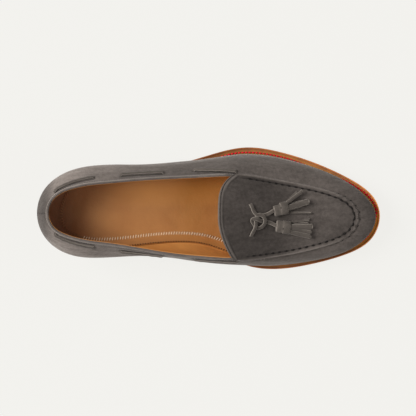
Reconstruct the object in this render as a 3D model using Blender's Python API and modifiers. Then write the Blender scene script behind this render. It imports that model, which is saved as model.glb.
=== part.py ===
"""Tassel loafer for the left foot, standing empty on its heel and forefoot.

Toe towards +X, outer (lateral) side towards +Y, inner (medial) side towards -Y, floor at z = 0,
with the origin on the floor in the middle of the heel's top piece.
The upper, insole, welt and sole all follow one last, which is described by closed guide lines
round the shoe. A place on a guide line is an angle: 0 at the back of the heel, 90 degrees half
way along the outer side, 180 at the toe and 270 half way along the inner side. The functions
measure x from the back of the shoe, and one empty carries all the pieces to the origin.
"""

import math
from collections import namedtuple

import bmesh
import bpy
import numpy as np

# Driving sizes, in metres
SHOE_LENGTH = 0.300          # back of the heel to the front of the welt
BALL_WIDTH = 0.106           # across the sole at the ball
BACK_HEIGHT = 0.0555         # height of the upper at the back, above the welt
HEEL_HEIGHT = 0.0245         # floor to the sole, at the back
TOE_SPRING = 0.0125          # rise of the sole's underside at the toe
SOLE_THICKNESS = 0.005
WELT_THICKNESS = 0.0025
WELT_REACH = 0.0055          # how far the welt runs in under the upper
WALL = 0.0024                # suede and lining together
INSOLE_THICKNESS = 0.004
CLEARANCE = 0.0003           # gap between pieces that touch
INSOLE_CLEARANCE = 0.0006    # gap between the insole's edge and the curved wall beside it
SEAM_HEIGHT = 0.0013         # raised seam round the apron
SEAM_HALF_WIDTH = 0.0022
SEAM_FADE = 0.016            # length over which the seam rises in front of the throat corner
TONGUE_REACH = 0.0125        # how far the throat edge bows back between its corners
EDGE_BEVEL = 0.0006          # lower edge of the sole

# Heel, in metres
HEEL_LENGTH = 0.0715         # back of the shoe to the heel breast
HEEL_TAPER = 0.0022          # how far the heel draws in from sole to floor
TOP_PIECE_THICKNESS = 0.006
LIFT_THICKNESS = 0.0053
LOWER_LIFTS = 2              # parallel lifts; the one above them is the wedge under the sole
BREAST_RADIUS = 0.062        # hollow curve of the heel breast
BREAST_DEPTH = 0.004

# Collar lace and tassels, in metres
COLLAR_LACE_RADIUS = 0.0013
COLLAR_LACE_DROP = 0.006     # down the wall from the top line
TASSEL_LACE_RADIUS = 0.0013
KNOT_RADIUS = 0.0044
TASSEL_CAP_LENGTH = 0.0138
TASSEL_CAP_HALF_WIDTH = 0.0054
TASSEL_CAP_HALF_HEIGHT = 0.0030
TASSEL_LIFT = 0.0006         # underside of the tassels above the apron
FRINGE_LENGTH = 0.018
STRIP_THICKNESS = 0.0011
END_THINNESS = 0.85          # the lace's ends, pulled tight, against its full radius

# Where each guide line starts and ends, as shares of the shoe's length
Reach = namedtuple("Reach", "start end")
SOLE_REACH = Reach(0.008, 1.000)
FEATHER_REACH = Reach(0.015, 0.977)
SWELL_REACH = Reach(0.000, 0.987)
TOP_REACH = Reach(0.031, 0.932)
THROAT_SHARE = 0.600         # throat corners, along the top guide

# Outlines seen from above: y as shares of the ball width, at shares of each guide's own length.
# sole: outer edge of sole and welt. feather: foot of the upper. swell: its widest line.
# top: collar edge behind the throat, apron seam in front of it.
Outline = namedtuple(
    "Outline", "share sole_lat sole_med feather_lat feather_med swell_lat swell_med top_lat top_med"
)
OUTLINES = [
    Outline(0.00, -0.005, -0.005, -0.005, -0.005, -0.008, -0.008, -0.010, -0.010),
    Outline(0.03, 0.193, -0.195, 0.190, -0.190, 0.217, -0.232, 0.146, -0.160),
    Outline(0.07, 0.269, -0.270, 0.258, -0.258, 0.306, -0.320, 0.196, -0.208),
    Outline(0.13, 0.320, -0.321, 0.306, -0.307, 0.367, -0.371, 0.232, -0.246),
    Outline(0.20, 0.342, -0.331, 0.328, -0.317, 0.389, -0.375, 0.250, -0.270),
    Outline(0.30, 0.354, -0.302, 0.338, -0.287, 0.397, -0.366, 0.273, -0.312),
    Outline(0.40, 0.396, -0.274, 0.372, -0.258, 0.413, -0.384, 0.288, -0.355),
    Outline(0.50, 0.476, -0.314, 0.416, -0.284, 0.442, -0.418, 0.300, -0.381),
    Outline(0.60, 0.536, -0.438, 0.460, -0.392, 0.482, -0.442, 0.306, -0.394),
    Outline(0.70, 0.503, -0.474, 0.436, -0.427, 0.459, -0.444, 0.273, -0.371),
    Outline(0.80, 0.418, -0.433, 0.362, -0.390, 0.387, -0.411, 0.227, -0.330),
    Outline(0.90, 0.293, -0.353, 0.246, -0.320, 0.273, -0.342, 0.169, -0.268),
    Outline(0.97, 0.160, -0.239, 0.116, -0.207, 0.130, -0.219, 0.091, -0.188),
    Outline(1.00, -0.033, -0.033, -0.040, -0.040, -0.045, -0.045, -0.042, -0.042),
]

# Wall of the upper at the same shares. height: top line above the welt, share of BACK_HEIGHT.
# swell: height of the widest line, share of that wall. full: how squarely it turns in above.
Wall = namedtuple("Wall", "share height_lat height_med swell_lat swell_med full_lat full_med")
WALLS = [
    Wall(0.00, 1.000, 1.000, 0.36, 0.36, 0.46, 0.46),
    Wall(0.03, 0.970, 0.970, 0.37, 0.37, 0.43, 0.43),
    Wall(0.07, 0.922, 0.927, 0.39, 0.39, 0.39, 0.39),
    Wall(0.13, 0.857, 0.872, 0.41, 0.42, 0.36, 0.36),
    Wall(0.20, 0.805, 0.835, 0.44, 0.46, 0.34, 0.34),
    Wall(0.30, 0.780, 0.828, 0.46, 0.50, 0.34, 0.33),
    Wall(0.40, 0.820, 0.880, 0.45, 0.50, 0.35, 0.33),
    Wall(0.50, 0.885, 0.932, 0.38, 0.47, 0.41, 0.37),
    Wall(0.60, 0.932, 0.925, 0.30, 0.38, 0.50, 0.45),
    Wall(0.70, 0.770, 0.705, 0.29, 0.34, 0.55, 0.52),
    Wall(0.80, 0.625, 0.585, 0.33, 0.36, 0.56, 0.55),
    Wall(0.90, 0.500, 0.483, 0.38, 0.39, 0.58, 0.57),
    Wall(0.97, 0.415, 0.408, 0.43, 0.43, 0.58, 0.58),
    Wall(1.00, 0.375, 0.375, 0.46, 0.46, 0.58, 0.58),
]
FOOT_CURVE = 0.40            # how early the wall stands upright below its widest line

# Rise of the apron's middle above the straight line between its two seams
Crown = namedtuple("Crown", "share rise")   # along the top guide; share of BACK_HEIGHT
CROWNS = [
    Crown(0.50, 0.290),
    Crown(0.55, 0.228),
    Crown(0.60, 0.178),
    Crown(0.70, 0.172),
    Crown(0.80, 0.148),
    Crown(0.90, 0.098),
    Crown(0.97, 0.036),
    Crown(1.00, 0.000),
]
TONGUE_SQUARENESS_LAT = 4.3  # power of the throat edge's curve on the outer side
TONGUE_SQUARENESS_MED = 1.9  # and on the inner side
TONGUE_FADE = 4              # power by which the bow dies out from the throat to the toe

# Underside of the sole, seen from the side
Rise = namedtuple("Rise", "share heel toe")  # along the shoe; shares of HEEL_HEIGHT and TOE_SPRING
RISES = [
    Rise(0.00, 1.000, 0.00),
    Rise(0.08, 0.965, 0.00),
    Rise(0.16, 0.915, 0.00),
    Rise(0.24, 0.830, 0.00),
    Rise(0.32, 0.660, 0.00),
    Rise(0.40, 0.430, 0.00),
    Rise(0.48, 0.205, 0.00),
    Rise(0.55, 0.060, 0.00),
    Rise(0.61, 0.000, 0.00),
    Rise(0.70, 0.000, 0.00),
    Rise(0.76, 0.000, 0.06),
    Rise(0.82, 0.000, 0.20),
    Rise(0.88, 0.000, 0.41),
    Rise(0.94, 0.000, 0.69),
    Rise(1.00, 0.000, 1.00),
]

# Collar lace: each stretch that shows between two slots, along the top guide, and how far it lies
# below the top line at both ends on either side, as shares of COLLAR_LACE_DROP
Stretch = namedtuple("Stretch", "name start end lateral medial")
COLLAR_STRETCHES = [
    Stretch("1", 0.032, 0.155, (0.65, 1.00), (0.60, 0.75)),
    Stretch("2", 0.240, 0.372, (1.00, 0.90), (1.15, 1.10)),
    Stretch("3", 0.468, 0.605, (1.15, 0.50), (1.10, 0.75)),
]

# Tassel lace: both holes and the knot on the apron, as shares of length and ball width
LACE_HOLES_X = 0.625
LACE_HOLE_LAT = 0.070
LACE_HOLE_MED = -0.205
KNOT_X = 0.640
KNOT_Y = -0.082

# Each tassel: where its cap starts, as shares of length and ball width, and its turn from the toe
Tassel = namedtuple("Tassel", "name x y degrees")
TASSELS = [
    Tassel("lateral", 0.685, 0.012, 11.0),
    Tassel("medial", 0.692, -0.110, -7.0),
]

# Its cap is rolled in two wraps: size of each section, as a share of the full width and height
Band = namedtuple("Band", "share size")     # along the cap
CAP_BANDS = [
    Band(0.00, 0.76),
    Band(0.06, 0.84),
    Band(0.44, 0.84),
    Band(0.50, 1.00),
    Band(0.94, 1.00),
    Band(1.00, 0.92),
]

# Its strips. root, tip and half_width are across the tassel, as shares of the cap's half width,
# and reach is the length past the cap, as a share of FRINGE_LENGTH. Layer 0 lies on the apron.
Strip = namedtuple("Strip", "root tip reach half_width layer")
STRIPS = {
    "lateral": [
        Strip(-0.74, -1.60, 1.04, 0.20, 0),
        Strip(-0.37, -0.65, 0.92, 0.35, 0),
        Strip(0.37, 1.02, 0.83, 0.33, 0),
        Strip(0.67, 2.10, 0.54, 0.18, 1),
        Strip(0.55, 1.95, 0.78, 0.30, 2),
        Strip(-0.10, 0.22, 1.00, 0.45, 2),
    ],
    "medial": [
        Strip(0.72, 1.65, 0.85, 0.20, 0),
        Strip(0.20, 0.95, 0.83, 0.35, 0),
        Strip(-0.37, -0.30, 0.92, 0.35, 0),
        Strip(-0.50, -0.95, 1.02, 0.22, 1),
        Strip(0.10, 0.60, 1.00, 0.46, 2),
        Strip(-0.58, -1.30, 0.98, 0.38, 2),
    ],
}

STRIP_ROOT = 0.81            # where the strips leave the cap's core, along the cap
STRIP_ROOT_WIDTH = 0.85      # a strip's width there, as a share of its width at the tip
ROOT_HEIGHT = 0.5            # layer 0 there, as a share of the cap's half height above its underside
ROOT_STEP = 0.4              # and each further layer above it
LAYER_PITCH = 1.25           # from layer to layer at the tips, in strip thicknesses
STRIP_DROOP = 1.5            # power of a strip's fall from its root to its rest

# How finely the forms are cut: columns round the shoe, rows up the wall and across the apron
REAR_COLUMNS = 30            # on each side, from the heel to a throat corner
FRONT_COLUMNS = 24           # on each side, from a throat corner to the toe
CLIMBS = [0.0, 0.28, 0.54, 0.78, 1.0, 1.20, 1.42, 1.64, 1.84]
APRON_CELLS = 8
SOLE_COLUMNS = 80
BAR_POINTS = 8
KNOT_POINTS = 14
CAP_SIDES = 12
STRIP_SECTIONS = 4
BREAST_SIDES = 96
HEEL_BLANK = 1.35            # length of the lifts before the breast is cut, in heel lengths
DROP_SAMPLES = 25            # points that measure a way down the wall
FOOT_SAMPLES = 12            # and up from its foot, on the inside
WELD = 1e-6                  # points closer than this are one

COLOURS = {                  # base colour and roughness
    "suede": ((0.135, 0.120, 0.110), 0.95),
    "suede_lace": ((0.165, 0.148, 0.136), 0.90),
    "tan_leather": ((0.400, 0.180, 0.065), 0.50),
    "welt_leather": ((0.420, 0.190, 0.060), 0.55),
    "sole_leather": ((0.300, 0.120, 0.045), 0.55),
    "heel_leather": ((0.230, 0.100, 0.045), 0.50),
    "rubber": ((0.030, 0.025, 0.022), 0.80),
}


def smooth_line(places, values):
    """A smooth line through the values that never overshoots them, so flat stretches stay flat."""
    places, values = np.array(places, float), np.array(values, float)
    steps = np.diff(places)
    slopes = np.diff(values) / steps
    tangents = np.zeros(len(values))
    tangents[0], tangents[-1] = slopes[0], slopes[-1]
    for i in range(1, len(values) - 1):
        if slopes[i - 1] * slopes[i] > 0:
            first, second = 2 * steps[i] + steps[i - 1], steps[i] + 2 * steps[i - 1]
            tangents[i] = (first + second) / (first / slopes[i - 1] + second / slopes[i])

    def value(place):
        i = int(np.clip(np.searchsorted(places, place) - 1, 0, len(steps) - 1))
        t = min(max((place - places[i]) / steps[i], 0.0), 1.0)
        rise, a, b = values[i + 1] - values[i], tangents[i] * steps[i], tangents[i + 1] * steps[i]
        return values[i] + t * a + t * t * (3 * rise - 2 * a - b) + t ** 3 * (a + b - 2 * rise)

    return value


def smooth_loop(angles, values):
    """A smooth closed line through one value at each angle, with no start or end."""
    count = len(angles)
    gaps = np.diff(np.append(angles, angles[0] + 2 * math.pi))
    matrix, target = np.zeros((count, count)), np.zeros(count)
    for i in range(count):
        before, after = gaps[i - 1], gaps[i]
        following = (i + 1) % count
        matrix[i, i - 1] += before
        matrix[i, i] += 2 * (before + after)
        matrix[i, following] += after
        rise_after = (values[following] - values[i]) / after
        rise_before = (values[i] - values[i - 1]) / before
        target[i] = 6 * (rise_after - rise_before)
    bends = np.linalg.solve(matrix, target)

    def value(angle):
        turn = angle % (2 * math.pi)
        i = int(np.searchsorted(angles, turn, side="right") - 1)
        following = (i + 1) % count
        t = turn - angles[i]
        u = gaps[i] - t
        curved = (bends[i] * u ** 3 + bends[following] * t ** 3) / (6 * gaps[i])
        first = (values[i] / gaps[i] - bends[i] * gaps[i] / 6) * u
        second = (values[following] / gaps[i] - bends[following] * gaps[i] / 6) * t
        return curved + first + second

    return value


def angle_of(share):
    """The angle on the outer side at a share of a guide's length."""
    return math.acos(1 - 2 * share)


def share_of(angle):
    return (1 - math.cos(angle)) / 2


def both_sides(table, lateral, medial):
    """One closed line from a table's outer column and its inner column."""
    angles = [angle_of(row.share) for row in table]
    values = [getattr(row, lateral) for row in table]
    back = [(2 * math.pi - a, getattr(row, medial)) for a, row in zip(angles, table)][-2:0:-1]
    angles += [a for a, _ in back]
    values += [v for _, v in back]
    return smooth_loop(np.array(angles), np.array(values))


sole_y = both_sides(OUTLINES, "sole_lat", "sole_med")
feather_y = both_sides(OUTLINES, "feather_lat", "feather_med")
swell_y = both_sides(OUTLINES, "swell_lat", "swell_med")
top_y = both_sides(OUTLINES, "top_lat", "top_med")
wall_height = both_sides(WALLS, "height_lat", "height_med")
swell_height = both_sides(WALLS, "swell_lat", "swell_med")
fullness = both_sides(WALLS, "full_lat", "full_med")
heel_rise = smooth_line([r.share for r in RISES], [r.heel for r in RISES])
toe_rise = smooth_line([r.share for r in RISES], [r.toe for r in RISES])
crown_rise = smooth_line([c.share for c in CROWNS], [c.rise for c in CROWNS])


def sole_bottom(x):
    """Height of the sole's underside."""
    share = x / SHOE_LENGTH
    return HEEL_HEIGHT * heel_rise(share) + TOE_SPRING * toe_rise(share)


def sole_top(x):
    return sole_bottom(x) + SOLE_THICKNESS


def welt_top(x):
    return sole_top(x) + CLEARANCE + WELT_THICKNESS


def feather_height(x):
    """Height of the upper's foot, just clear of the welt."""
    return welt_top(x) + CLEARANCE


def along(reach, angle):
    """x of a guide line at an angle."""
    return SHOE_LENGTH * (reach.start + (reach.end - reach.start) * share_of(angle))


def sole_plan(angle):
    return np.array([along(SOLE_REACH, angle), BALL_WIDTH * sole_y(angle)])


def feather_plan(angle):
    return np.array([along(FEATHER_REACH, angle), BALL_WIDTH * feather_y(angle)])


def top_plan(angle):
    return np.array([along(TOP_REACH, angle), BALL_WIDTH * top_y(angle)])


def inset(plan, angle, distance):
    """A point of an outline moved inwards, square to it."""
    small = 1e-3
    way = plan(angle + small) - plan(angle - small)
    way /= np.linalg.norm(way)
    return plan(angle) + distance * np.array([way[1], -way[0]])


def feather_point(angle):
    x, y = feather_plan(angle)
    return np.array([x, y, feather_height(x)])


def top_point(angle):
    x, y = top_plan(angle)
    return np.array([x, y, feather_height(x) + BACK_HEIGHT * wall_height(angle)])


def swell_point(angle):
    x, y = along(SWELL_REACH, angle), BALL_WIDTH * swell_y(angle)
    low, high = feather_point(angle)[2], top_point(angle)[2]
    return np.array([x, y, low + (high - low) * swell_height(angle)])


def bend(start, control, end, t):
    return (1 - t) ** 2 * start + 2 * t * (1 - t) * control + t * t * end


def wall_point(angle, climb):
    """Outer face of the wall: climb is 0 at the foot, 1 at the widest line and 2 at the top line."""
    swell = swell_point(angle)
    if climb > 1:
        top = top_point(angle)
        control = swell + np.array([0, 0, (top[2] - swell[2]) * fullness(angle)])
        return bend(swell, control, top, climb - 1)
    foot = feather_point(angle)
    control = swell - np.array([0, 0, (swell[2] - foot[2]) * FOOT_CURVE])
    return bend(foot, control, swell, climb)


def wall_normal(angle, climb):
    """Outward normal of the wall's outer face."""
    small = 1e-3
    low, high = max(climb - small, 0.0), min(climb + small, 2.0)
    up = wall_point(angle, high) - wall_point(angle, low)
    onward = wall_point(angle + small, climb) - wall_point(angle - small, climb)
    normal = np.cross(up, onward)
    return normal / np.linalg.norm(normal)


def climb_below_top(angle, distance):
    """The climb that lies a distance down the wall from the top line."""
    climbs = np.linspace(2.0, 1.0, DROP_SAMPLES)
    points = np.array([wall_point(angle, c) for c in climbs])
    runs = np.linalg.norm(np.diff(points, axis=0), axis=1)
    return np.interp(distance, np.append(0.0, np.cumsum(runs)), climbs)


def apron_height(x, y):
    """Height of the apron over a place, between its seams and, behind the throat, beyond them."""
    share = (x / SHOE_LENGTH - TOP_REACH.start) / (TOP_REACH.end - TOP_REACH.start)
    share = min(max(share, 0.0), 1.0)
    lateral, medial = top_point(angle_of(share)), top_point(2 * math.pi - angle_of(share))
    width = max(lateral[1] - medial[1], 1e-6)
    across = min(max((lateral[1] - y) / width, 0.0), 1.0)
    chord = lateral[2] + (medial[2] - lateral[2]) * across
    return chord + BACK_HEIGHT * crown_rise(share) * (1 - (2 * across - 1) ** 2)


def on_apron(x, y, height):
    """A point that stands off the apron's face by a height."""
    small = 5e-4
    slope_x = (apron_height(x + small, y) - apron_height(x - small, y)) / (2 * small)
    slope_y = (apron_height(x, y + small) - apron_height(x, y - small)) / (2 * small)
    normal = np.array([-slope_x, -slope_y, 1.0])
    normal /= np.linalg.norm(normal)
    return np.array([x, y, apron_height(x, y)]) + height * normal


def inside_wall(angle, climb):
    """A point just clear of the wall's inner face."""
    return wall_point(angle, climb) - (WALL + INSOLE_CLEARANCE) * wall_normal(angle, climb)


def inside_at_height(angle, height):
    """A point just clear of the wall's inner face, at a height above the foot of the upper."""
    faces = [inside_wall(angle, climb) for climb in np.linspace(0.0, 1.0, FOOT_SAMPLES)]
    heights = [p[2] - feather_point(angle)[2] for p in faces]
    x = np.interp(height, heights, [p[0] for p in faces])
    y = np.interp(height, heights, [p[1] for p in faces])
    return np.array([x, y, feather_height(x) + height])


shoe = bpy.data.collections.new("tassel_loafer")
cutters = bpy.data.collections.new("cutters")
materials = {}


def material(name):
    if name not in materials:
        colour, roughness = COLOURS[name]
        made = bpy.data.materials.new(name)
        made.use_nodes = True
        shader = made.node_tree.nodes["Principled BSDF"]
        shader.inputs["Base Color"].default_value = (*colour, 1.0)
        shader.inputs["Roughness"].default_value = roughness
        shader.inputs["Metallic"].default_value = 0.0
        materials[name] = made
    return materials[name]


def place(name, points, faces, finish, collection=None):
    """A named object from points and faces, with its normals made to agree."""
    mesh = bpy.data.meshes.new(name)
    mesh.from_pydata([tuple(p) for p in points], [], faces)
    form = bmesh.new()
    form.from_mesh(mesh)
    bmesh.ops.remove_doubles(form, verts=form.verts, dist=WELD)
    bmesh.ops.recalc_face_normals(form, faces=form.faces)
    form.to_mesh(mesh)
    form.free()
    mesh.materials.append(material(finish))
    thing = bpy.data.objects.new(name, mesh)
    (collection or shoe).objects.link(thing)
    return thing


def add_boolean(thing, operation, other=None, others=None):
    modifier = thing.modifiers.new(operation.lower(), "BOOLEAN")
    modifier.operation = operation
    modifier.solver = "EXACT"
    if others:
        modifier.operand_type = "COLLECTION"
        modifier.collection = others
    else:
        modifier.object = other


def hide(thing):
    """Marks a cutter or guide, which isn't part of the shoe."""
    thing.hide_render = True
    thing.display_type = "WIRE"


def ring_sides(first, second, count, closed=True):
    """Faces between two rows of points."""
    last = count if closed else count - 1
    return [
        (first + j, first + (j + 1) % count, second + (j + 1) % count, second + j)
        for j in range(last)
    ]


def rungs(first, count):
    """Faces across a closed row of points, each joining the outer side to the inner side."""
    half = count // 2
    faces = [(first, first + 1, first + count - 1)]
    for j in range(1, half - 1):
        faces.append((first + j, first + j + 1, first + count - j - 1, first + count - j))
    faces.append((first + half - 1, first + half, first + half + 1))
    return faces


def stacked(name, rings, finish):
    """A solid from closed rings of equal count, capped by rungs at both ends."""
    count = len(rings[0])
    points = [p for ring in rings for p in ring]
    faces = rungs(0, count) + rungs((len(rings) - 1) * count, count)
    for level in range(len(rings) - 1):
        faces += ring_sides(level * count, (level + 1) * count, count)
    return place(name, points, faces, finish)


def swept(name, sections, finish, collection=None):
    """A solid from a row of equal sections, closed by a flat face at each end."""
    count = len(sections[0])
    points = [p for section in sections for p in section]
    last = (len(sections) - 1) * count
    faces = [tuple(range(count)), tuple(range(last, last + count))]
    for k in range(len(sections) - 1):
        faces += ring_sides(k * count, (k + 1) * count, count)
    return place(name, points, faces, finish, collection)


def round_angles(count):
    return [2 * math.pi * j / count for j in range(count)]


def throat_angle():
    return angle_of(THROAT_SHARE)


def upper_angles():
    """Column angles round the upper, with a column at each throat corner."""
    throat = throat_angle()
    lateral = [throat * j / REAR_COLUMNS for j in range(REAR_COLUMNS)]
    lateral += [throat + (math.pi - throat) * j / FRONT_COLUMNS for j in range(FRONT_COLUMNS)]
    medial = [2 * math.pi - a for a in lateral[:0:-1]]
    return lateral + [math.pi] + medial


def seam_strength(x):
    """0 at the throat corners, rising to 1 where the seam is fully raised."""
    start = along(TOP_REACH, throat_angle())
    t = min(max((x - start) / SEAM_FADE, 0.0), 1.0)
    return t * t * (3 - 2 * t)


def make_upper():
    """Suede vamp, quarters and apron with their lining: one wall, open at collar and underneath."""
    angles = upper_angles()
    columns = len(angles)
    rows = []
    for climb in CLIMBS:
        rows.append([wall_point(a, climb) for a in angles])
    rows.append([wall_point(a, climb_below_top(a, SEAM_HALF_WIDTH)) for a in angles])
    crest = []
    for a in angles:
        top = top_point(a)
        outward = wall_normal(a, 2.0) + np.array([0, 0, 1.0])
        crest.append(top + SEAM_HEIGHT * seam_strength(top[0]) * outward / np.linalg.norm(outward))
    rows.append(crest)
    points = [p for row in rows for p in row]
    faces = []
    for level in range(len(rows) - 1):
        faces += ring_sides(level * columns, (level + 1) * columns, columns)

    corner, toe = REAR_COLUMNS, columns // 2
    crest_start = (len(rows) - 1) * columns
    inner_start = len(points)
    inner = range(corner, columns - corner + 1)
    for j in inner:
        x, y = inset(top_plan, angles[j], SEAM_HALF_WIDTH)
        points.append(np.array([x, y, apron_height(x, y)]))
    for k, j in enumerate(list(inner)[:-1]):
        faces.append((crest_start + j, crest_start + j + 1, inner_start + k + 1, inner_start + k))

    strands = []
    for j in range(corner, toe):
        first, last = points[inner_start + j - corner], points[inner_start + columns - j - corner]
        forward = 1 - (j - corner) / (toe - corner)
        bow = TONGUE_REACH * forward ** TONGUE_FADE
        strand = [inner_start + j - corner]
        for cell in range(1, APRON_CELLS):
            share = cell / APRON_CELLS
            x, y = (first + (last - first) * share)[:2]
            power = TONGUE_SQUARENESS_LAT if share < 0.5 else TONGUE_SQUARENESS_MED
            x -= bow * (1 - abs(2 * share - 1) ** power)
            strand.append(len(points))
            points.append(np.array([x, y, apron_height(x, y)]))
        strand.append(inner_start + columns - j - corner)
        strands.append(strand)
    for one, two in zip(strands, strands[1:]):
        faces += [(one[c], two[c], two[c + 1], one[c + 1]) for c in range(APRON_CELLS)]
    tip = inner_start + toe - corner
    faces += [(strands[-1][c], tip, strands[-1][c + 1]) for c in range(APRON_CELLS)]

    upper = place("upper", points, faces, "suede")
    upward = sum((p.normal.z for p in upper.data.polygons if p.center.x > SHOE_LENGTH / 2), 0.0)
    if upward < 0:
        upper.data.flip_normals()
    shell = upper.modifiers.new("wall", "SOLIDIFY")
    shell.thickness = WALL
    shell.offset = -1
    shell.use_even_offset = True
    shell.use_rim = True
    upper.data.shade_smooth()
    return upper


def make_outsole():
    """Leather sole in one piece from heel to toe, its lower edge bevelled."""
    angles = round_angles(SOLE_COLUMNS)
    bottom, edge, top = [], [], []
    for a in angles:
        x, y = inset(sole_plan, a, EDGE_BEVEL)
        bottom.append((x, y, sole_bottom(x)))
        x, y = sole_plan(a)
        edge.append((x, y, sole_bottom(x) + EDGE_BEVEL))
        top.append((x, y, sole_top(x)))
    return stacked("outsole", [bottom, edge, top], "sole_leather")


def breast_angle():
    """Where the heel breast crosses the sole's outline."""
    share = (HEEL_LENGTH / SHOE_LENGTH - SOLE_REACH.start) / (SOLE_REACH.end - SOLE_REACH.start)
    return angle_of(share)


def welt_inner(angle):
    return inset(feather_plan, angle, WELT_REACH)


def welt_strip(name, angles, finish):
    """A leather strip between the sole's edge and a line under the upper."""
    sections = []
    for a in angles:
        outer, inner = sole_plan(a), welt_inner(a)
        low = [(*p, sole_top(p[0]) + CLEARANCE) for p in (outer, inner)]
        high = [(*p, welt_top(p[0])) for p in (inner, outer)]
        sections.append(low + high)
    return swept(name, sections, finish)


def make_welt():
    """The welt runs from breast to breast round the forepart, and the rand goes on round the heel."""
    breast = breast_angle()
    slope = SHOE_LENGTH * (SOLE_REACH.end - SOLE_REACH.start) * math.sin(breast) / 2
    gap = CLEARANCE / slope
    front = np.linspace(breast + gap, 2 * math.pi - breast - gap, SOLE_COLUMNS * 3 // 4)
    back = np.linspace(-breast, breast, SOLE_COLUMNS // 3)
    welt_strip("welt", front, "welt_leather")
    welt_strip("heel_rand", back, "welt_leather")


def make_insole():
    """Insole board with its tan sock, and the filler that lies inside the welt."""
    angles = round_angles(SOLE_COLUMNS)
    low, shoulder, foot, corner, face = [], [], [], [], []
    for a in angles:
        x, y = inset(feather_plan, a, WELT_REACH + CLEARANCE)
        low.append((x, y, sole_top(x) + CLEARANCE))
        shoulder.append((x, y, feather_height(x)))
        x, y, z = inside_wall(a, 0.0)
        foot.append((x, y, feather_height(x)))
        corner.append((x, y, z))
        face.append(inside_at_height(a, INSOLE_THICKNESS))
    return stacked("insole", [low, shoulder, foot, corner, face], "tan_leather")


def heel_plan(angle, z):
    """Outline of the heel at a height, drawn in towards the floor."""
    return inset(sole_plan, angle, HEEL_TAPER * (1 - z / HEEL_HEIGHT))


def breast_cutter(top):
    """An upright cylinder in front of the heel that hollows its breast."""
    form = bmesh.new()
    bmesh.ops.create_cone(
        form, cap_ends=True, segments=BREAST_SIDES, depth=2 * top,
        radius1=BREAST_RADIUS, radius2=BREAST_RADIUS,
    )
    mesh = bpy.data.meshes.new("breast_cutter")
    form.to_mesh(mesh)
    form.free()
    cutter = bpy.data.objects.new("breast_cutter", mesh)
    cutter.location = (HEEL_LENGTH - BREAST_DEPTH + BREAST_RADIUS, 0.0, 0.0)
    cutters.objects.link(cutter)
    hide(cutter)
    return cutter


def make_heel():
    """Top piece, parallel lifts and the wedge lift under the sole, all with one hollowed breast."""
    cutter = breast_cutter(2 * HEEL_HEIGHT)
    front = angle_of((HEEL_LENGTH / SHOE_LENGTH - SOLE_REACH.start) * HEEL_BLANK)
    angles = np.linspace(-front, front, SOLE_COLUMNS // 2 + 1)
    levels = [("top_piece", 0.0, TOP_PIECE_THICKNESS, "rubber")]
    for number in range(LOWER_LIFTS):
        low = levels[-1][2] + CLEARANCE
        levels.append((f"heel_lift_{number + 1}", low, low + LIFT_THICKNESS, "heel_leather"))
    low = levels[-1][2] + CLEARANCE
    levels.append((f"heel_lift_{LOWER_LIFTS + 1}", low, None, "heel_leather"))
    half = len(angles) // 2
    for name, low, high, finish in levels:
        under, over = [], []
        for a in angles:
            x, y = heel_plan(a, low)
            under.append((x, y, low))
            x, y = heel_plan(a, high or HEEL_HEIGHT)
            over.append((x, y, high or sole_bottom(x) - CLEARANCE))
        points, count = under + over, len(angles)
        faces = ring_sides(0, count, count)
        for first in (0, count):
            faces.append((first + half - 1, first + half, first + half + 1))
            for j in range(half - 1):
                faces.append((first + j, first + j + 1, first + count - j - 2, first + count - j - 1))
        lift = place(name, points, faces, finish)
        add_boolean(lift, "DIFFERENCE", cutter)


def make_cord(name, points, radius, finish, closed=False):
    """A round cord through the points, as a curve with filled caps, or closed into a ring."""
    curve = bpy.data.curves.new(name, "CURVE")
    curve.dimensions = "3D"
    curve.bevel_depth = radius
    curve.bevel_resolution = 2
    curve.use_fill_caps = True
    line = curve.splines.new("POLY")
    line.points.add(len(points) - 1)
    line.use_cyclic_u = closed
    for slot, point in zip(line.points, points):
        slot.co = (*point, 1.0)
    curve.materials.append(material(finish))
    cord = bpy.data.objects.new(name, curve)
    shoe.objects.link(cord)
    return cord


def make_collar_lace():
    """The stretches of collar lace that show between their slots, lying on the wall."""
    off = COLLAR_LACE_RADIUS + CLEARANCE
    for side, sign in (("lateral", 1), ("medial", -1)):
        for stretch in COLLAR_STRETCHES:
            angles = np.linspace(angle_of(stretch.start), angle_of(stretch.end), BAR_POINTS) * sign
            drops = np.linspace(*getattr(stretch, side), BAR_POINTS) * COLLAR_LACE_DROP
            points = []
            for a, drop in zip(angles, drops):
                climb = climb_below_top(a, drop)
                points.append(wall_point(a, climb) + off * wall_normal(a, climb))
            make_cord(
                f"collar_lace_{side}_{stretch.name}", points, COLLAR_LACE_RADIUS, "suede_lace"
            )


def mesh_of_curve(cord):
    """Turns a curve object into a mesh object of the same name, with its caps welded on."""
    graph = bpy.context.evaluated_depsgraph_get()
    mesh = bpy.data.meshes.new_from_object(cord.evaluated_get(graph))
    form = bmesh.new()
    form.from_mesh(mesh)
    bmesh.ops.remove_doubles(form, verts=form.verts, dist=WELD)
    bmesh.ops.recalc_face_normals(form, faces=form.faces)
    form.to_mesh(mesh)
    form.free()
    name, placing = cord.name, cord.matrix_world.copy()
    bpy.data.objects.remove(cord)
    thing = bpy.data.objects.new(name, mesh)
    thing.matrix_world = placing
    shoe.objects.link(thing)
    return thing


def tassel_frame(tassel):
    """A function from places along, across and above a tassel to points over the apron."""
    turn = math.radians(tassel.degrees)
    x0, y0 = tassel.x * SHOE_LENGTH, tassel.y * BALL_WIDTH

    def point(forward, across, height):
        x = x0 + forward * math.cos(turn) - across * math.sin(turn)
        y = y0 + forward * math.sin(turn) + across * math.cos(turn)
        return on_apron(x, y, height)

    return point


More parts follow.
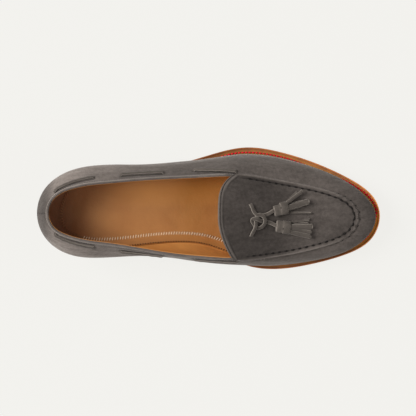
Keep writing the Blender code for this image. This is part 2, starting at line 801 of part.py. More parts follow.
def make_lace_bar():
    """Lace across the apron, from the hole on the outer side to the hole on the inner side."""
    rest = TASSEL_LACE_RADIUS + CLEARANCE
    across = np.linspace(LACE_HOLE_LAT, LACE_HOLE_MED, BAR_POINTS) * BALL_WIDTH
    points = [on_apron(LACE_HOLES_X * SHOE_LENGTH, y, rest) for y in across]
    make_cord("lace_bar", points, TASSEL_LACE_RADIUS, "suede_lace")


def make_lace_knot():
    """The knot, a loop that lies over the bar at its back and runs out to the tassels in front."""
    rest = TASSEL_LACE_RADIUS + CLEARANCE
    over_bar = 2 * TASSEL_LACE_RADIUS + 2 * CLEARANCE
    centre_x, centre_y = KNOT_X * SHOE_LENGTH, KNOT_Y * BALL_WIDTH
    loop = []
    for turn in round_angles(KNOT_POINTS):
        x, y = centre_x + KNOT_RADIUS * math.cos(turn), centre_y + KNOT_RADIUS * math.sin(turn)
        loop.append(on_apron(x, y, rest + over_bar * (1 - math.cos(turn)) / 2))
    knot = mesh_of_curve(make_cord("lace_knot", loop, TASSEL_LACE_RADIUS, "suede_lace", closed=True))
    ends = bpy.data.collections.new("lace_ends")
    cutters.children.link(ends)
    for tassel in TASSELS:
        cap = tassel_frame(tassel)(-CLEARANCE, 0.0, TASSEL_LIFT + TASSEL_CAP_HALF_HEIGHT)
        start = on_apron(centre_x, centre_y + math.copysign(KNOT_RADIUS / 2, tassel.degrees), rest)
        middle = (start + cap) / 2
        points = [start, middle, cap]
        end = mesh_of_curve(
            make_cord("end_" + tassel.name, points, TASSEL_LACE_RADIUS * END_THINNESS, "suede_lace")
        )
        shoe.objects.unlink(end)
        ends.objects.link(end)
        hide(end)
    add_boolean(knot, "UNION", others=ends)


def make_tassel(tassel):
    """A rolled suede cap in two bands with cut strips fanned out of it, lying on the apron."""
    point = tassel_frame(tassel)
    sections = []
    for band in CAP_BANDS:
        section = []
        for turn in round_angles(CAP_SIDES):
            across = TASSEL_CAP_HALF_WIDTH * band.size * math.cos(turn)
            height = TASSEL_LIFT + TASSEL_CAP_HALF_HEIGHT * (1 + band.size * math.sin(turn))
            section.append(point(TASSEL_CAP_LENGTH * band.share, across, height))
        sections.append(section)
    cap = swept("tassel_" + tassel.name, sections, "suede_lace")

    fringe = bpy.data.collections.new("fringe_" + tassel.name)
    cutters.children.link(fringe)
    root_forward = TASSEL_CAP_LENGTH * STRIP_ROOT
    for number, strip in enumerate(STRIPS[tassel.name]):
        tip_forward = TASSEL_CAP_LENGTH + FRINGE_LENGTH * strip.reach
        cuts = []
        for t in np.linspace(0, 1, STRIP_SECTIONS):
            forward = root_forward + (tip_forward - root_forward) * t
            across = TASSEL_CAP_HALF_WIDTH * (strip.root + (strip.tip - strip.root) * t)
            root = TASSEL_LIFT + TASSEL_CAP_HALF_HEIGHT * (ROOT_HEIGHT + ROOT_STEP * strip.layer)
            rest = TASSEL_LIFT + strip.layer * STRIP_THICKNESS * LAYER_PITCH
            low = rest + (root - rest) * (1 - t) ** STRIP_DROOP
            widening = STRIP_ROOT_WIDTH + (1 - STRIP_ROOT_WIDTH) * t
            half_width = TASSEL_CAP_HALF_WIDTH * strip.half_width * widening
            cuts.append([
                point(forward, across - half_width, low),
                point(forward, across + half_width, low),
                point(forward, across + half_width, low + STRIP_THICKNESS),
                point(forward, across - half_width, low + STRIP_THICKNESS),
            ])
        piece = swept(f"strip_{tassel.name}_{number}", cuts, "suede_lace", fringe)
        hide(piece)
    add_boolean(cap, "UNION", others=fringe)


def carry_to_origin():
    """Hangs every piece and cutter from one empty, with the heel's middle over the origin."""
    carrier = bpy.data.objects.new("last", None)
    carrier.location = (-HEEL_LENGTH / 2, 0.0, 0.0)
    shoe.objects.link(carrier)
    for thing in bpy.data.objects:
        if thing is not carrier:
            thing.parent = carrier


def main():
    for thing in list(bpy.data.objects):
        bpy.data.objects.remove(thing)
    bpy.context.scene.collection.children.link(shoe)
    bpy.context.scene.collection.children.link(cutters)
    make_upper()
    make_insole()
    make_welt()
    make_outsole()
    make_heel()
    make_collar_lace()
    make_lace_bar()
    make_lace_knot()
    for tassel in TASSELS:
        make_tassel(tassel)
    carry_to_origin()


main()
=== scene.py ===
"""A tassel loafer in grey suede for the left foot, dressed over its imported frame.

Toe towards +X, outer (lateral) side towards +Y, inner (medial) side towards -Y, floor at z = 0,
with the origin on the floor in the middle of the heel. All lengths are in metres.
The last is described by closed guide lines round the shoe. A place on a guide line is an angle:
0 at the back of the heel, 90 degrees half way along the outer side, 180 at the toe and 270 half
way along the inner side. Points of the last are worked out with x from the back of the shoe, and
are carried to the frame when a mesh is made from them.
"""

import math

import bpy
import numpy as np
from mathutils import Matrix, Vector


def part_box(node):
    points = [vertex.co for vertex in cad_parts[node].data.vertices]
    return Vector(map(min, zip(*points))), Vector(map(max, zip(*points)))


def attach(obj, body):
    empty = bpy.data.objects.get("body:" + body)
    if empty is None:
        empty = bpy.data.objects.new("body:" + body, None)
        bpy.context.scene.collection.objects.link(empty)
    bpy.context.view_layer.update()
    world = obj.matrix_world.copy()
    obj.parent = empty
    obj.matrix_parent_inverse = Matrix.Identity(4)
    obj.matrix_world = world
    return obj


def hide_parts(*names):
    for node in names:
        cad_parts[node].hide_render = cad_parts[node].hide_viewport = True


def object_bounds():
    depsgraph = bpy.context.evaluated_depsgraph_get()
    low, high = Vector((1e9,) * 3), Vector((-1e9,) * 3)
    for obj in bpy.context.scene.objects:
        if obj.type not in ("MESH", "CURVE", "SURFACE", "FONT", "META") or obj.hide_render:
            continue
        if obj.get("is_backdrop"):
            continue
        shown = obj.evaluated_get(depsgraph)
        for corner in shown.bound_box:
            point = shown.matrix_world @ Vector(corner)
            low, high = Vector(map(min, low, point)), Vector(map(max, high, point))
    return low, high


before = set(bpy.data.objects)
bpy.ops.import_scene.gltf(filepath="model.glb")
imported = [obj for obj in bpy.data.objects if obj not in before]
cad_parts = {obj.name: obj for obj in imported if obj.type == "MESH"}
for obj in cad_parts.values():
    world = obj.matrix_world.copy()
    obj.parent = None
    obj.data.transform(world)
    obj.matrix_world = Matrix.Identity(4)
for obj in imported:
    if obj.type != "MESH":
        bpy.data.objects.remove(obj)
cad_low, cad_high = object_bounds()

# Camera
# It hangs straight above the shoe with a long lens, the toe to the right of the picture.
EYE_HEIGHT = 4.0
EYE_X = 0.11325
EYE_Y = 0.0035
VIEW_WIDTH = 0.36736         # what the square picture spans on the floor


def put(name, data):
    """A new object in the scene."""
    thing = bpy.data.objects.new(name, data)
    bpy.context.scene.collection.objects.link(thing)
    return thing


camera = put("camera", bpy.data.cameras.new("camera"))
camera.location = (EYE_X, EYE_Y, EYE_HEIGHT)
camera.data.lens = camera.data.sensor_width * EYE_HEIGHT / VIEW_WIDTH
camera.data.clip_end = 3 * EYE_HEIGHT
bpy.context.scene.camera = camera
bpy.context.scene.view_settings.view_transform = "Standard"

# Insole
# Vegetable-tanned board under a tan leather sock, cut to the bottom of the last and glued down.
# A zigzag seam holds the pad under the sock, and a row of dark stitches joins it to the lining.
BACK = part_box("upper")[0][0]                  # the back of the shoe in the frame
TO_FRAME = np.array([BACK, 0.0, 0.0])
SHOE_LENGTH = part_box("outsole")[1][0] - BACK
BALL_WIDTH = 0.106           # across the sole at the ball
BACK_HEIGHT = 0.0555         # height of the upper at the back, above the welt
HEEL_HEIGHT = 0.0245         # floor to the sole, at the back
TOE_SPRING = 0.0125          # rise of the sole's underside at the toe
SOLE_THICKNESS = 0.005
WELT_THICKNESS = 0.0025
WALL = 0.0024                # suede and lining together
INSOLE_THICKNESS = 0.004
CLEARANCE = 0.0003           # gap between pieces that touch
INSOLE_CLEARANCE = 0.0006
FOOT_CURVE = 0.40            # how early the wall stands upright below its widest line
SOLE_REACH = (0.008, 1.000)  # where each guide line starts and ends, as shares of the length
FEATHER_REACH = (0.015, 0.977)
SWELL_REACH = (0.000, 0.987)
TOP_REACH = (0.031, 0.932)

# Outlines from above, y as shares of the ball width: share of the guide's length, then outer and
# inner side of the sole, the foot of the upper, its widest line, and its top line
OUTLINES = [
    (0.00, -0.005, -0.005, -0.005, -0.005, -0.008, -0.008, -0.010, -0.010),
    (0.03, 0.193, -0.195, 0.190, -0.190, 0.217, -0.232, 0.146, -0.160),
    (0.07, 0.269, -0.270, 0.258, -0.258, 0.306, -0.320, 0.196, -0.208),
    (0.13, 0.320, -0.321, 0.306, -0.307, 0.367, -0.371, 0.232, -0.246),
    (0.20, 0.342, -0.331, 0.328, -0.317, 0.389, -0.375, 0.250, -0.270),
    (0.30, 0.354, -0.302, 0.338, -0.287, 0.397, -0.366, 0.273, -0.312),
    (0.40, 0.396, -0.274, 0.372, -0.258, 0.413, -0.384, 0.288, -0.355),
    (0.50, 0.476, -0.314, 0.416, -0.284, 0.442, -0.418, 0.300, -0.381),
    (0.60, 0.536, -0.438, 0.460, -0.392, 0.482, -0.442, 0.306, -0.394),
    (0.70, 0.503, -0.474, 0.436, -0.427, 0.459, -0.444, 0.273, -0.371),
    (0.80, 0.418, -0.433, 0.362, -0.390, 0.387, -0.411, 0.227, -0.330),
    (0.90, 0.293, -0.353, 0.246, -0.320, 0.273, -0.342, 0.169, -0.268),
    (0.97, 0.160, -0.239, 0.116, -0.207, 0.130, -0.219, 0.091, -0.188),
    (1.00, -0.033, -0.033, -0.040, -0.040, -0.045, -0.045, -0.042, -0.042),
]

# Wall of the upper at the same shares, outer and inner side: height of the top line as a share of
# BACK_HEIGHT, height of the widest line as a share of that, and how squarely it turns in above
WALLS = [
    (0.00, 1.000, 1.000, 0.36, 0.36, 0.46, 0.46),
    (0.03, 0.970, 0.970, 0.37, 0.37, 0.43, 0.43),
    (0.07, 0.922, 0.927, 0.39, 0.39, 0.39, 0.39),
    (0.13, 0.857, 0.872, 0.41, 0.42, 0.36, 0.36),
    (0.20, 0.805, 0.835, 0.44, 0.46, 0.34, 0.34),
    (0.30, 0.780, 0.828, 0.46, 0.50, 0.34, 0.33),
    (0.40, 0.820, 0.880, 0.45, 0.50, 0.35, 0.33),
    (0.50, 0.885, 0.932, 0.38, 0.47, 0.41, 0.37),
    (0.60, 0.932, 0.925, 0.30, 0.38, 0.50, 0.45),
    (0.70, 0.770, 0.705, 0.29, 0.34, 0.55, 0.52),
    (0.80, 0.625, 0.585, 0.33, 0.36, 0.56, 0.55),
    (0.90, 0.500, 0.483, 0.38, 0.39, 0.58, 0.57),
    (0.97, 0.415, 0.408, 0.43, 0.43, 0.58, 0.58),
    (1.00, 0.375, 0.375, 0.46, 0.46, 0.58, 0.58),
]

# Underside of the sole: share of the length, then shares of HEEL_HEIGHT and of TOE_SPRING
RISES = [
    (0.00, 1.000, 0.00), (0.08, 0.965, 0.00), (0.16, 0.915, 0.00), (0.24, 0.830, 0.00),
    (0.32, 0.660, 0.00), (0.40, 0.430, 0.00), (0.48, 0.205, 0.00), (0.55, 0.060, 0.00),
    (0.61, 0.000, 0.00), (0.70, 0.000, 0.00), (0.76, 0.000, 0.06), (0.82, 0.000, 0.20),
    (0.88, 0.000, 0.41), (0.94, 0.000, 0.69), (1.00, 0.000, 1.00),
]


def smooth_line(places, values):
    """A smooth line through the values that never overshoots them."""
    places, values = np.array(places, float), np.array(values, float)
    steps = np.diff(places)
    slopes = np.diff(values) / steps
    tangents = np.zeros(len(values))
    tangents[0], tangents[-1] = slopes[0], slopes[-1]
    for i in range(1, len(values) - 1):
        if slopes[i - 1] * slopes[i] > 0:
            first, second = 2 * steps[i] + steps[i - 1], steps[i] + 2 * steps[i - 1]
            tangents[i] = (first + second) / (first / slopes[i - 1] + second / slopes[i])

    def value(place):
        i = np.clip(np.searchsorted(places, place) - 1, 0, len(steps) - 1)
        t = np.clip((place - places[i]) / steps[i], 0.0, 1.0)
        rise, a, b = values[i + 1] - values[i], tangents[i] * steps[i], tangents[i + 1] * steps[i]
        return values[i] + t * a + t * t * (3 * rise - 2 * a - b) + t ** 3 * (a + b - 2 * rise)

    return value


def smooth_loop(angles, values):
    """A smooth closed line through one value at each angle."""
    count = len(angles)
    gaps = np.diff(np.append(angles, angles[0] + 2 * math.pi))
    matrix, target = np.zeros((count, count)), np.zeros(count)
    for i in range(count):
        before, after, onward = gaps[i - 1], gaps[i], (i + 1) % count
        matrix[i, i - 1] += before
        matrix[i, i] += 2 * (before + after)
        matrix[i, onward] += after
        target[i] = 6 * ((values[onward] - values[i]) / after - (values[i] - values[i - 1]) / before)
    bends = np.linalg.solve(matrix, target)

    def value(angle):
        turn = np.mod(angle, 2 * math.pi)
        i = np.searchsorted(angles, turn, side="right") - 1
        onward = (i + 1) % count
        t = turn - angles[i]
        u = gaps[i] - t
        curved = (bends[i] * u ** 3 + bends[onward] * t ** 3) / (6 * gaps[i])
        first = (values[i] / gaps[i] - bends[i] * gaps[i] / 6) * u
        return curved + first + (values[onward] / gaps[i] - bends[onward] * gaps[i] / 6) * t

    return value


def angle_of(share):
    """The angle on the outer side at a share of a guide's length."""
    return np.arccos(1 - 2 * np.asarray(share, float))


def share_of(angle):
    return (1 - np.cos(angle)) / 2


def both_sides(table, outer, inner):
    """One closed line from a table's outer column and its inner column."""
    angles = [float(angle_of(row[0])) for row in table]
    values = [row[outer] for row in table]
    back = [(2 * math.pi - a, row[inner]) for a, row in zip(angles, table)][-2:0:-1]
    return smooth_loop(np.array(angles + [a for a, _ in back]), np.array(values + [v for _, v in back]))


sole_y = both_sides(OUTLINES, 1, 2)
feather_y = both_sides(OUTLINES, 3, 4)
swell_y = both_sides(OUTLINES, 5, 6)
top_y = both_sides(OUTLINES, 7, 8)
wall_height = both_sides(WALLS, 1, 2)
swell_height = both_sides(WALLS, 3, 4)
fullness = both_sides(WALLS, 5, 6)
heel_rise = smooth_line([r[0] for r in RISES], [r[1] for r in RISES])
toe_rise = smooth_line([r[0] for r in RISES], [r[2] for r in RISES])


def sole_bottom(x):
    share = np.asarray(x) / SHOE_LENGTH
    return HEEL_HEIGHT * heel_rise(share) + TOE_SPRING * toe_rise(share)


def sole_top(x):
    return sole_bottom(x) + SOLE_THICKNESS


def welt_top(x):
    return sole_top(x) + CLEARANCE + WELT_THICKNESS


def foot_height(x):
    """Height of the upper's foot, just clear of the welt."""
    return welt_top(x) + CLEARANCE


def guide(reach, side):
    """A guide line seen from above, as a function from angles to rows of x and y."""
    def plan(angle):
        x = SHOE_LENGTH * (reach[0] + (reach[1] - reach[0]) * share_of(angle))
        return np.stack([x, BALL_WIDTH * side(angle)], axis=-1)
    return plan


sole_plan = guide(SOLE_REACH, sole_y)
feather_plan = guide(FEATHER_REACH, feather_y)
swell_plan = guide(SWELL_REACH, swell_y)
top_plan = guide(TOP_REACH, top_y)


def inset(plan, angle, distance):
    """Points of an outline moved inwards, square to it."""
    small = 1e-3
    way = plan(angle + small) - plan(angle - small)
    way /= np.linalg.norm(way, axis=-1, keepdims=True)
    inward = np.stack([way[..., 1], -way[..., 0]], axis=-1)
    return plan(angle) + np.asarray(distance)[..., None] * inward


def raised(plan, height):
    """Rows of x and y with their height added."""
    return np.concatenate([plan, np.broadcast_to(height, plan.shape[:-1])[..., None]], axis=-1)


def top_line(angle):
    plan = top_plan(angle)
    return raised(plan, foot_height(plan[..., 0]) + BACK_HEIGHT * wall_height(angle))


def wall_point(angle, climb):
    """Outer face of the wall: climb is 0 at the foot, 1 at the widest line and 2 at the top line."""
    angle, climb = np.broadcast_arrays(np.asarray(angle, float), np.asarray(climb, float))
    plan = feather_plan(angle)
    foot = raised(plan, foot_height(plan[..., 0]))
    top = top_line(angle)
    rise = top[..., 2] - foot[..., 2]
    swell = raised(swell_plan(angle), foot[..., 2] + rise * swell_height(angle))
    above, below = swell.copy(), swell.copy()
    above[..., 2] += (top[..., 2] - swell[..., 2]) * fullness(angle)
    below[..., 2] -= (swell[..., 2] - foot[..., 2]) * FOOT_CURVE
    t = np.clip(climb, 0, 1)[..., None]
    low = (1 - t) ** 2 * foot + 2 * t * (1 - t) * below + t * t * swell
    t = np.clip(climb - 1, 0, 1)[..., None]
    high = (1 - t) ** 2 * swell + 2 * t * (1 - t) * above + t * t * top
    return np.where((climb > 1)[..., None], high, low)


def wall_normal(angle, climb):
    """Outward normal of the wall's outer face."""
    small = 1e-3
    climb = np.asarray(climb, float)
    up = wall_point(angle, np.minimum(climb + small, 2)) - wall_point(angle, np.maximum(climb - small, 0))
    onward = wall_point(np.asarray(angle) + small, climb) - wall_point(np.asarray(angle) - small, climb)
    normal = np.cross(up, onward)
    return normal / np.linalg.norm(normal, axis=-1, keepdims=True)


def sock_edge(angle, height):
    """Where the inside of the wall stands at a height above its foot, for one angle."""
    climbs = np.linspace(0.0, 1.0, 12)
    faces = wall_point(angle, climbs) - (WALL + INSOLE_CLEARANCE) * wall_normal(angle, climbs)
    heights = faces[:, 2] - foot_height(feather_plan(np.asarray(angle))[0])
    x, y = (np.interp(height, heights, faces[:, k]) for k in (0, 1))
    return np.array([x, y, foot_height(x) + height])


def round_angles(count):
    return 2 * math.pi * np.arange(count) / count


def ring_sides(first, second, count):
    """Quads between two closed rows of points."""
    return [(first + j, first + (j + 1) % count, second + (j + 1) % count, second + j)
            for j in range(count)]


def between(rows):
    """Quads between open rows of points."""
    return [(a, c, d, b) for one, two in zip(rows, rows[1:])
            for a, b, c, d in zip(one, one[1:], two, two[1:])]


def rungs(first, count, flip=False):
    """Faces across a closed row of points, each joining the outer side to the inner side."""
    half = count // 2
    faces = [(first, first + 1, first + count - 1)]
    faces += [(first + j, first + j + 1, first + count - j - 1, first + count - j)
              for j in range(1, half - 1)]
    faces.append((first + half - 1, first + half, first + half + 1))
    return [face[::-1] for face in faces] if flip else faces


def dress(name, points, faces, finishes, finish_of=None, tones=None, replaced=()):
    """A piece of the shoe: mesh, materials, normals and what it stands for in the frame."""
    mesh = bpy.data.meshes.new(name)
    mesh.from_pydata((np.asarray(points, float) + TO_FRAME).tolist(), [], faces)
    for finish in finishes:
        mesh.materials.append(finish)
    if finish_of is not None:
        mesh.polygons.foreach_set("material_index", np.asarray(finish_of, np.int32))
    for attribute, values in (tones or {}).items():
        layer = mesh.attributes.new(attribute, "FLOAT", "POINT")
        layer.data.foreach_set("value", np.asarray(values, np.float32))
    mesh.shade_smooth()
    for face in mesh.polygons:
        face.use_smooth = len(face.vertices) < 5      # flat ends and the heel's flat faces
    mesh.update()
    thing = put(name, mesh)
    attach(thing, "root")
    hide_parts(*replaced)
    return thing


def shader(name, roughness, **sockets):
    """A new material, its node tree and its Principled shader with the plain sockets set."""
    made = bpy.data.materials.new(name)
    made.use_nodes = True
    surface = made.node_tree.nodes["Principled BSDF"]
    surface.inputs["Roughness"].default_value = roughness
    for socket, value in sockets.items():
        surface.inputs[socket].default_value = value
    return made, made.node_tree, surface


def linear(red, green, blue):
    """A colour picked on a screen, as the shader wants it."""
    values = [c / 255 for c in (red, green, blue)]
    return tuple(v / 12.92 if v <= 0.04045 else ((v + 0.055) / 1.055) ** 2.4 for v in values) + (1.0,)


def noise_of(tree, size, detail=3.0, stretch=(1, 1, 1)):
    """Noise on the object's own coordinates, with spots of about a size in metres."""
    place = tree.nodes.new("ShaderNodeTexCoord")
    mapping = tree.nodes.new("ShaderNodeMapping")
    mapping.inputs["Scale"].default_value = stretch
    noise = tree.nodes.new("ShaderNodeTexNoise")
    noise.inputs["Scale"].default_value = 1 / size
    noise.inputs["Detail"].default_value = detail
    tree.links.new(place.outputs["Object"], mapping.inputs["Vector"])
    tree.links.new(mapping.outputs["Vector"], noise.inputs["Vector"])
    return noise.outputs["Fac"]


def ramp_of(tree, factor, stops):
    """Colours from a factor: each stop is a place and a colour."""
    ramp = tree.nodes.new("ShaderNodeValToRGB")
    while len(ramp.color_ramp.elements) < len(stops):
        ramp.color_ramp.elements.new(0.5)
    for element, (place, colour) in zip(ramp.color_ramp.elements, stops):
        element.position, element.color = place, colour
    tree.links.new(factor, ramp.inputs["Fac"])
    return ramp.outputs["Color"]


def blend_of(tree, factor, first, second, kind="MIX"):
    """Two colours mixed by a factor, each a socket, a colour or a number."""
    mix = tree.nodes.new("ShaderNodeMix")
    mix.data_type, mix.blend_type = "RGBA", kind
    for socket, value in zip((mix.inputs[0], mix.inputs[6], mix.inputs[7]), (factor, first, second)):
        if isinstance(value, bpy.types.NodeSocket):
            tree.links.new(value, socket)
        else:
            socket.default_value = value
    return mix.outputs[2]


def bump_of(tree, surface, layers):
    """A chain of bumps, each a height and how deep it goes in metres."""
    before = None
    for height, depth in layers:
        bump = tree.nodes.new("ShaderNodeBump")
        bump.inputs["Strength"].default_value = 1.0
        bump.inputs["Distance"].default_value = depth
        tree.links.new(height, bump.inputs["Height"])
        if before:
            tree.links.new(before, bump.inputs["Normal"])
        before = bump.outputs["Normal"]
    tree.links.new(before, surface.inputs["Normal"])


def attribute_of(tree, name):
    node = tree.nodes.new("ShaderNodeAttribute")
    node.attribute_name = name
    return node.outputs["Fac"]


def tan_leather(name, light, dark, roughness, coat):
    """Smooth tanned leather: soft cloudy colour, a fine pebble and a thin finish.

    It is painted a dark brown as shade where the attribute "painted_shade" rises to 1, and painted
    a lighter tan as light where the attribute "painted_light" does."""
    made, tree, surface = shader(name, roughness, **{"Coat Weight": coat, "Coat Roughness": 0.35})
    cloud = ramp_of(tree, noise_of(tree, 0.030, 4.0), [(0.35, dark), (0.65, light)])
    fleck = noise_of(tree, 0.0011, 2.0)
    colour = blend_of(tree, 0.12, cloud, ramp_of(tree, fleck, [(0.3, dark), (0.7, light)]))
    # Painted light, then painted shade, laid over the leather's colour by two attributes
    colour = blend_of(tree, attribute_of(tree, "painted_light"), colour, linear(195, 131, 58))
    colour = blend_of(tree, attribute_of(tree, "painted_shade"), colour, linear(98, 56, 20))
    tree.links.new(colour, surface.inputs["Base Color"])
    bump_of(tree, surface, [(noise_of(tree, 0.0011, 3.0), 0.00012), (noise_of(tree, 0.012), 0.0006)])
    return made


SOCK_COLUMNS = 180
SOCK_CELLS = 40
SOCK_PITCH = 0.0012          # least distance between the sock's columns, at its ends
SOCK_CURL = 0.0012           # how far the sock turns up at its edge
CURL_WIDTH = 0.006
# Painted shade on the sock: distance from the back and how dark it is painted there, and the bands
# across and along the shoe over which it is painted lighter towards the outer wall, as painted light
PAINTED_HEEL_SHADE = [(0.010, 0.86), (0.020, 0.82), (0.028, 0.60), (0.036, 0.30), (0.050, 0.18), (0.070, 0.0)]
PAINTED_LIGHT_ACROSS = (0.003, 0.021)
PAINTED_LIGHT_ALONG = (0.050, 0.100)
sock_tan = tan_leather("sock_leather", linear(171, 115, 57), linear(158, 102, 47), 0.55, 0.04)

angles = round_angles(2 * SOCK_COLUMNS)
edge = np.array([sock_edge(a, INSOLE_THICKNESS) for a in angles])
foot = np.array([sock_edge(a, 0.0) for a in angles])
points = [foot, edge]
faces = ring_sides(0, len(angles), len(angles))
start = 2 * len(angles)
sock_rows = []
for j in range(1, SOCK_COLUMNS):
    one, two = edge[j], edge[-j]
    across = np.linspace(0, 1, SOCK_CELLS + 1)[1:-1, None]
    strand = one + (two - one) * across
    side = np.minimum(across[:, 0], 1 - across[:, 0]) * np.linalg.norm(two - one)
    side = np.minimum(side, min(j, SOCK_COLUMNS - j) * SOCK_PITCH + 1e-9)
    strand[:, 2] -= SOCK_CURL * (1 - np.exp(-(side / CURL_WIDTH) ** 2))
    first = start + (j - 1) * (SOCK_CELLS - 1)
    sock_rows.append([len(angles) + j, *range(first, first + SOCK_CELLS - 1), 2 * len(angles) - j])
    points.append(strand)
faces += between(sock_rows)
faces += [(len(angles), sock_rows[0][c], sock_rows[0][c + 1]) for c in range(SOCK_CELLS)]
tip = len(angles) + SOCK_COLUMNS
faces += [(sock_rows[-1][c], tip, sock_rows[-1][c + 1]) for c in range(SOCK_CELLS)]
faces = rungs(0, len(angles)) + [face[::-1] for face in faces]
points = np.concatenate(points)
painted_light = np.interp(points[:, 1], PAINTED_LIGHT_ACROSS, (0, 1)) * np.interp(points[:, 0], PAINTED_LIGHT_ALONG, (0, 1))
tones = {"painted_shade": np.interp(points[:, 0], *zip(*PAINTED_HEEL_SHADE)), "painted_light": painted_light}
dress("insole_sock", points, faces, [sock_tan], tones=tones, replaced=["insole"])

# Stitching
# Every seam is a row of short threads laid on a line: waxed linen on the welt, thin polyester on
# the uppers. One tree lays a thread on each point, along the seam and square to the leather.
def stitch_tree():
    tree = bpy.data.node_groups.new("stitch_row", "GeometryNodeTree")
    face = tree.interface
    face.new_socket(name="Geometry", in_out="INPUT", socket_type="NodeSocketGeometry")
    for name in ("Length", "Width", "Height", "Unevenness"):
        face.new_socket(name=name, in_out="INPUT", socket_type="NodeSocketFloat")
    face.new_socket(name="Seed", in_out="INPUT", socket_type="NodeSocketInt")
    face.new_socket(name="Thread", in_out="INPUT", socket_type="NodeSocketMaterial")
    face.new_socket(name="Geometry", in_out="OUTPUT", socket_type="NodeSocketGeometry")
    new, link = tree.nodes.new, tree.links.new
    given, result = new("NodeGroupInput"), new("NodeGroupOutput")
    thread = new("GeometryNodeMeshUVSphere")
    thread.inputs["Segments"].default_value = 8
    thread.inputs["Rings"].default_value = 6
    thread.inputs["Radius"].default_value = 0.5
    size = new("ShaderNodeCombineXYZ")
    for socket, name in zip(("X", "Y", "Z"), ("Length", "Width", "Height")):
        link(given.outputs[name], size.inputs[socket])
    shaped = new("GeometryNodeTransform")
    link(thread.outputs["Mesh"], shaped.inputs["Geometry"])
    link(size.outputs["Vector"], shaped.inputs["Scale"])
    frame_of = new("FunctionNodeAxesToRotation")
    frame_of.primary_axis, frame_of.secondary_axis = "Z", "X"
    for name, socket in (("up", 0), ("along", 1)):
        named = new("GeometryNodeInputNamedAttribute")
        named.data_type = "FLOAT_VECTOR"
        named.inputs["Name"].default_value = name
        link(named.outputs["Attribute"], frame_of.inputs[socket])
    least = new("ShaderNodeMath")
    least.operation = "SUBTRACT"
    least.inputs[0].default_value = 1.0
    link(given.outputs["Unevenness"], least.inputs[1])
    chance = new("FunctionNodeRandomValue")
    chance.data_type = "FLOAT"
    link(least.outputs[0], chance.inputs[2])
    chance.inputs[3].default_value = 1.0
    link(given.outputs["Seed"], chance.inputs["Seed"])
    dots = new("GeometryNodeMeshToPoints")
    laid = new("GeometryNodeInstanceOnPoints")
    real = new("GeometryNodeRealizeInstances")
    painted = new("GeometryNodeSetMaterial")
    for start, out, end, into in (
            (given, "Geometry", dots, "Mesh"), (dots, "Points", laid, "Points"),
            (shaped, "Geometry", laid, "Instance"), (frame_of, "Rotation", laid, "Rotation"),
            (chance, 1, laid, "Scale"), (laid, "Instances", real, "Geometry"),
            (real, "Geometry", painted, "Geometry"), (given, "Thread", painted, "Material"),
            (painted, "Geometry", result, "Geometry")):
        link(start.outputs[out], end.inputs[into])
    return tree


STITCH_ROW = stitch_tree()


def sew(name, places, alongs, ups, size, thread, seed=1, unevenness=0.15):
    """One row of stitches as a plain mesh. The size is a stitch's length, width and height."""
    host = bpy.data.meshes.new(name)
    host.from_pydata((np.asarray(places) + TO_FRAME).tolist(), [], [])
    for attribute, values in (("along", alongs), ("up", ups)):
        layer = host.attributes.new(attribute, "FLOAT_VECTOR", "POINT")
        values = np.broadcast_to(values, (len(places), 3)).astype(np.float32)
        layer.data.foreach_set("vector", values.ravel())
    row = put(name + "_row", host)
    modifier = row.modifiers.new("stitches", "NODES")
    modifier.node_group = STITCH_ROW
    wanted = {**dict(zip(("Length", "Width", "Height"), size)), "Unevenness": unevenness,
              "Seed": seed, "Thread": thread}
    for socket in STITCH_ROW.interface.items_tree:
        if socket.in_out == "INPUT" and socket.name in wanted:
            modifier[socket.identifier] = wanted[socket.name]
    shown = row.evaluated_get(bpy.context.evaluated_depsgraph_get())
    mesh = bpy.data.meshes.new_from_object(shown)
    bpy.data.objects.remove(row)
    mesh.name = name
    mesh.shade_smooth()
    stitches = put(name, mesh)
    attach(stitches, "root")
    return stitches


def unit(vectors):
    vectors = np.asarray(vectors, float)
    return vectors / np.maximum(np.linalg.norm(vectors, axis=-1, keepdims=True), 1e-12)


def paced(line, pitch, *others):
    """A line read again at an even pitch: its places, its directions, and what else goes with it."""
    runs = np.append(0.0, np.cumsum(np.linalg.norm(np.diff(line, axis=0), axis=1)))
    at = np.arange(pitch / 2, runs[-1], pitch)

    def read(values, where):
        return np.stack([np.interp(where, runs, values[:, k]) for k in range(values.shape[1])], axis=1)

    way = unit(read(line, np.minimum(at + pitch / 4, runs[-1])) - read(line, at - pitch / 4))
    return [read(line, at), way] + [read(other, at) for other in others]


def thread_of(name, colour, roughness=0.7):
    """Twisted thread: a plain colour with fine slanting ply."""
    made, tree, surface = shader(name, roughness, **{"Specular IOR Level": 0.2})
    twist = noise_of(tree, 0.0004, 1.0)
    dark = tuple(0.55 * c for c in colour[:3]) + (1.0,)
    tree.links.new(ramp_of(tree, twist, [(0.3, dark), (0.6, colour)]), surface.inputs["Base Color"])
    bump_of(tree, surface, [(twist, 0.0001)])
    return made


# How far the zigzag lies inside the sock's edge: degrees round the shoe, distance
ZIGZAG_IN = [(-118, 0.0084), (-36, 0.0084), (-16, 0.0122), (0, 0.0143), (16, 0.0130), (36, 0.0066),
             (100, 0.0050)]
ZIGZAG_PITCH = 0.0023
ZIGZAG_WIDTH = 0.0031
ZIGZAG_LEAN = 0.0009         # how far a stroke leans along the seam
DARK_THREAD_REACH = 0.040         # the thread is darker from the back up to here
EDGE_STITCH_INSET = 0.0012
EDGE_STITCH_PITCH = 0.0023
UP = np.array([0.0, 0.0, 1.0])
cream_thread = thread_of("cream_thread", linear(236, 212, 180))
darker_thread = thread_of("darker_thread", linear(150, 106, 70))
brown_thread = thread_of("brown_thread", linear(44, 24, 12))

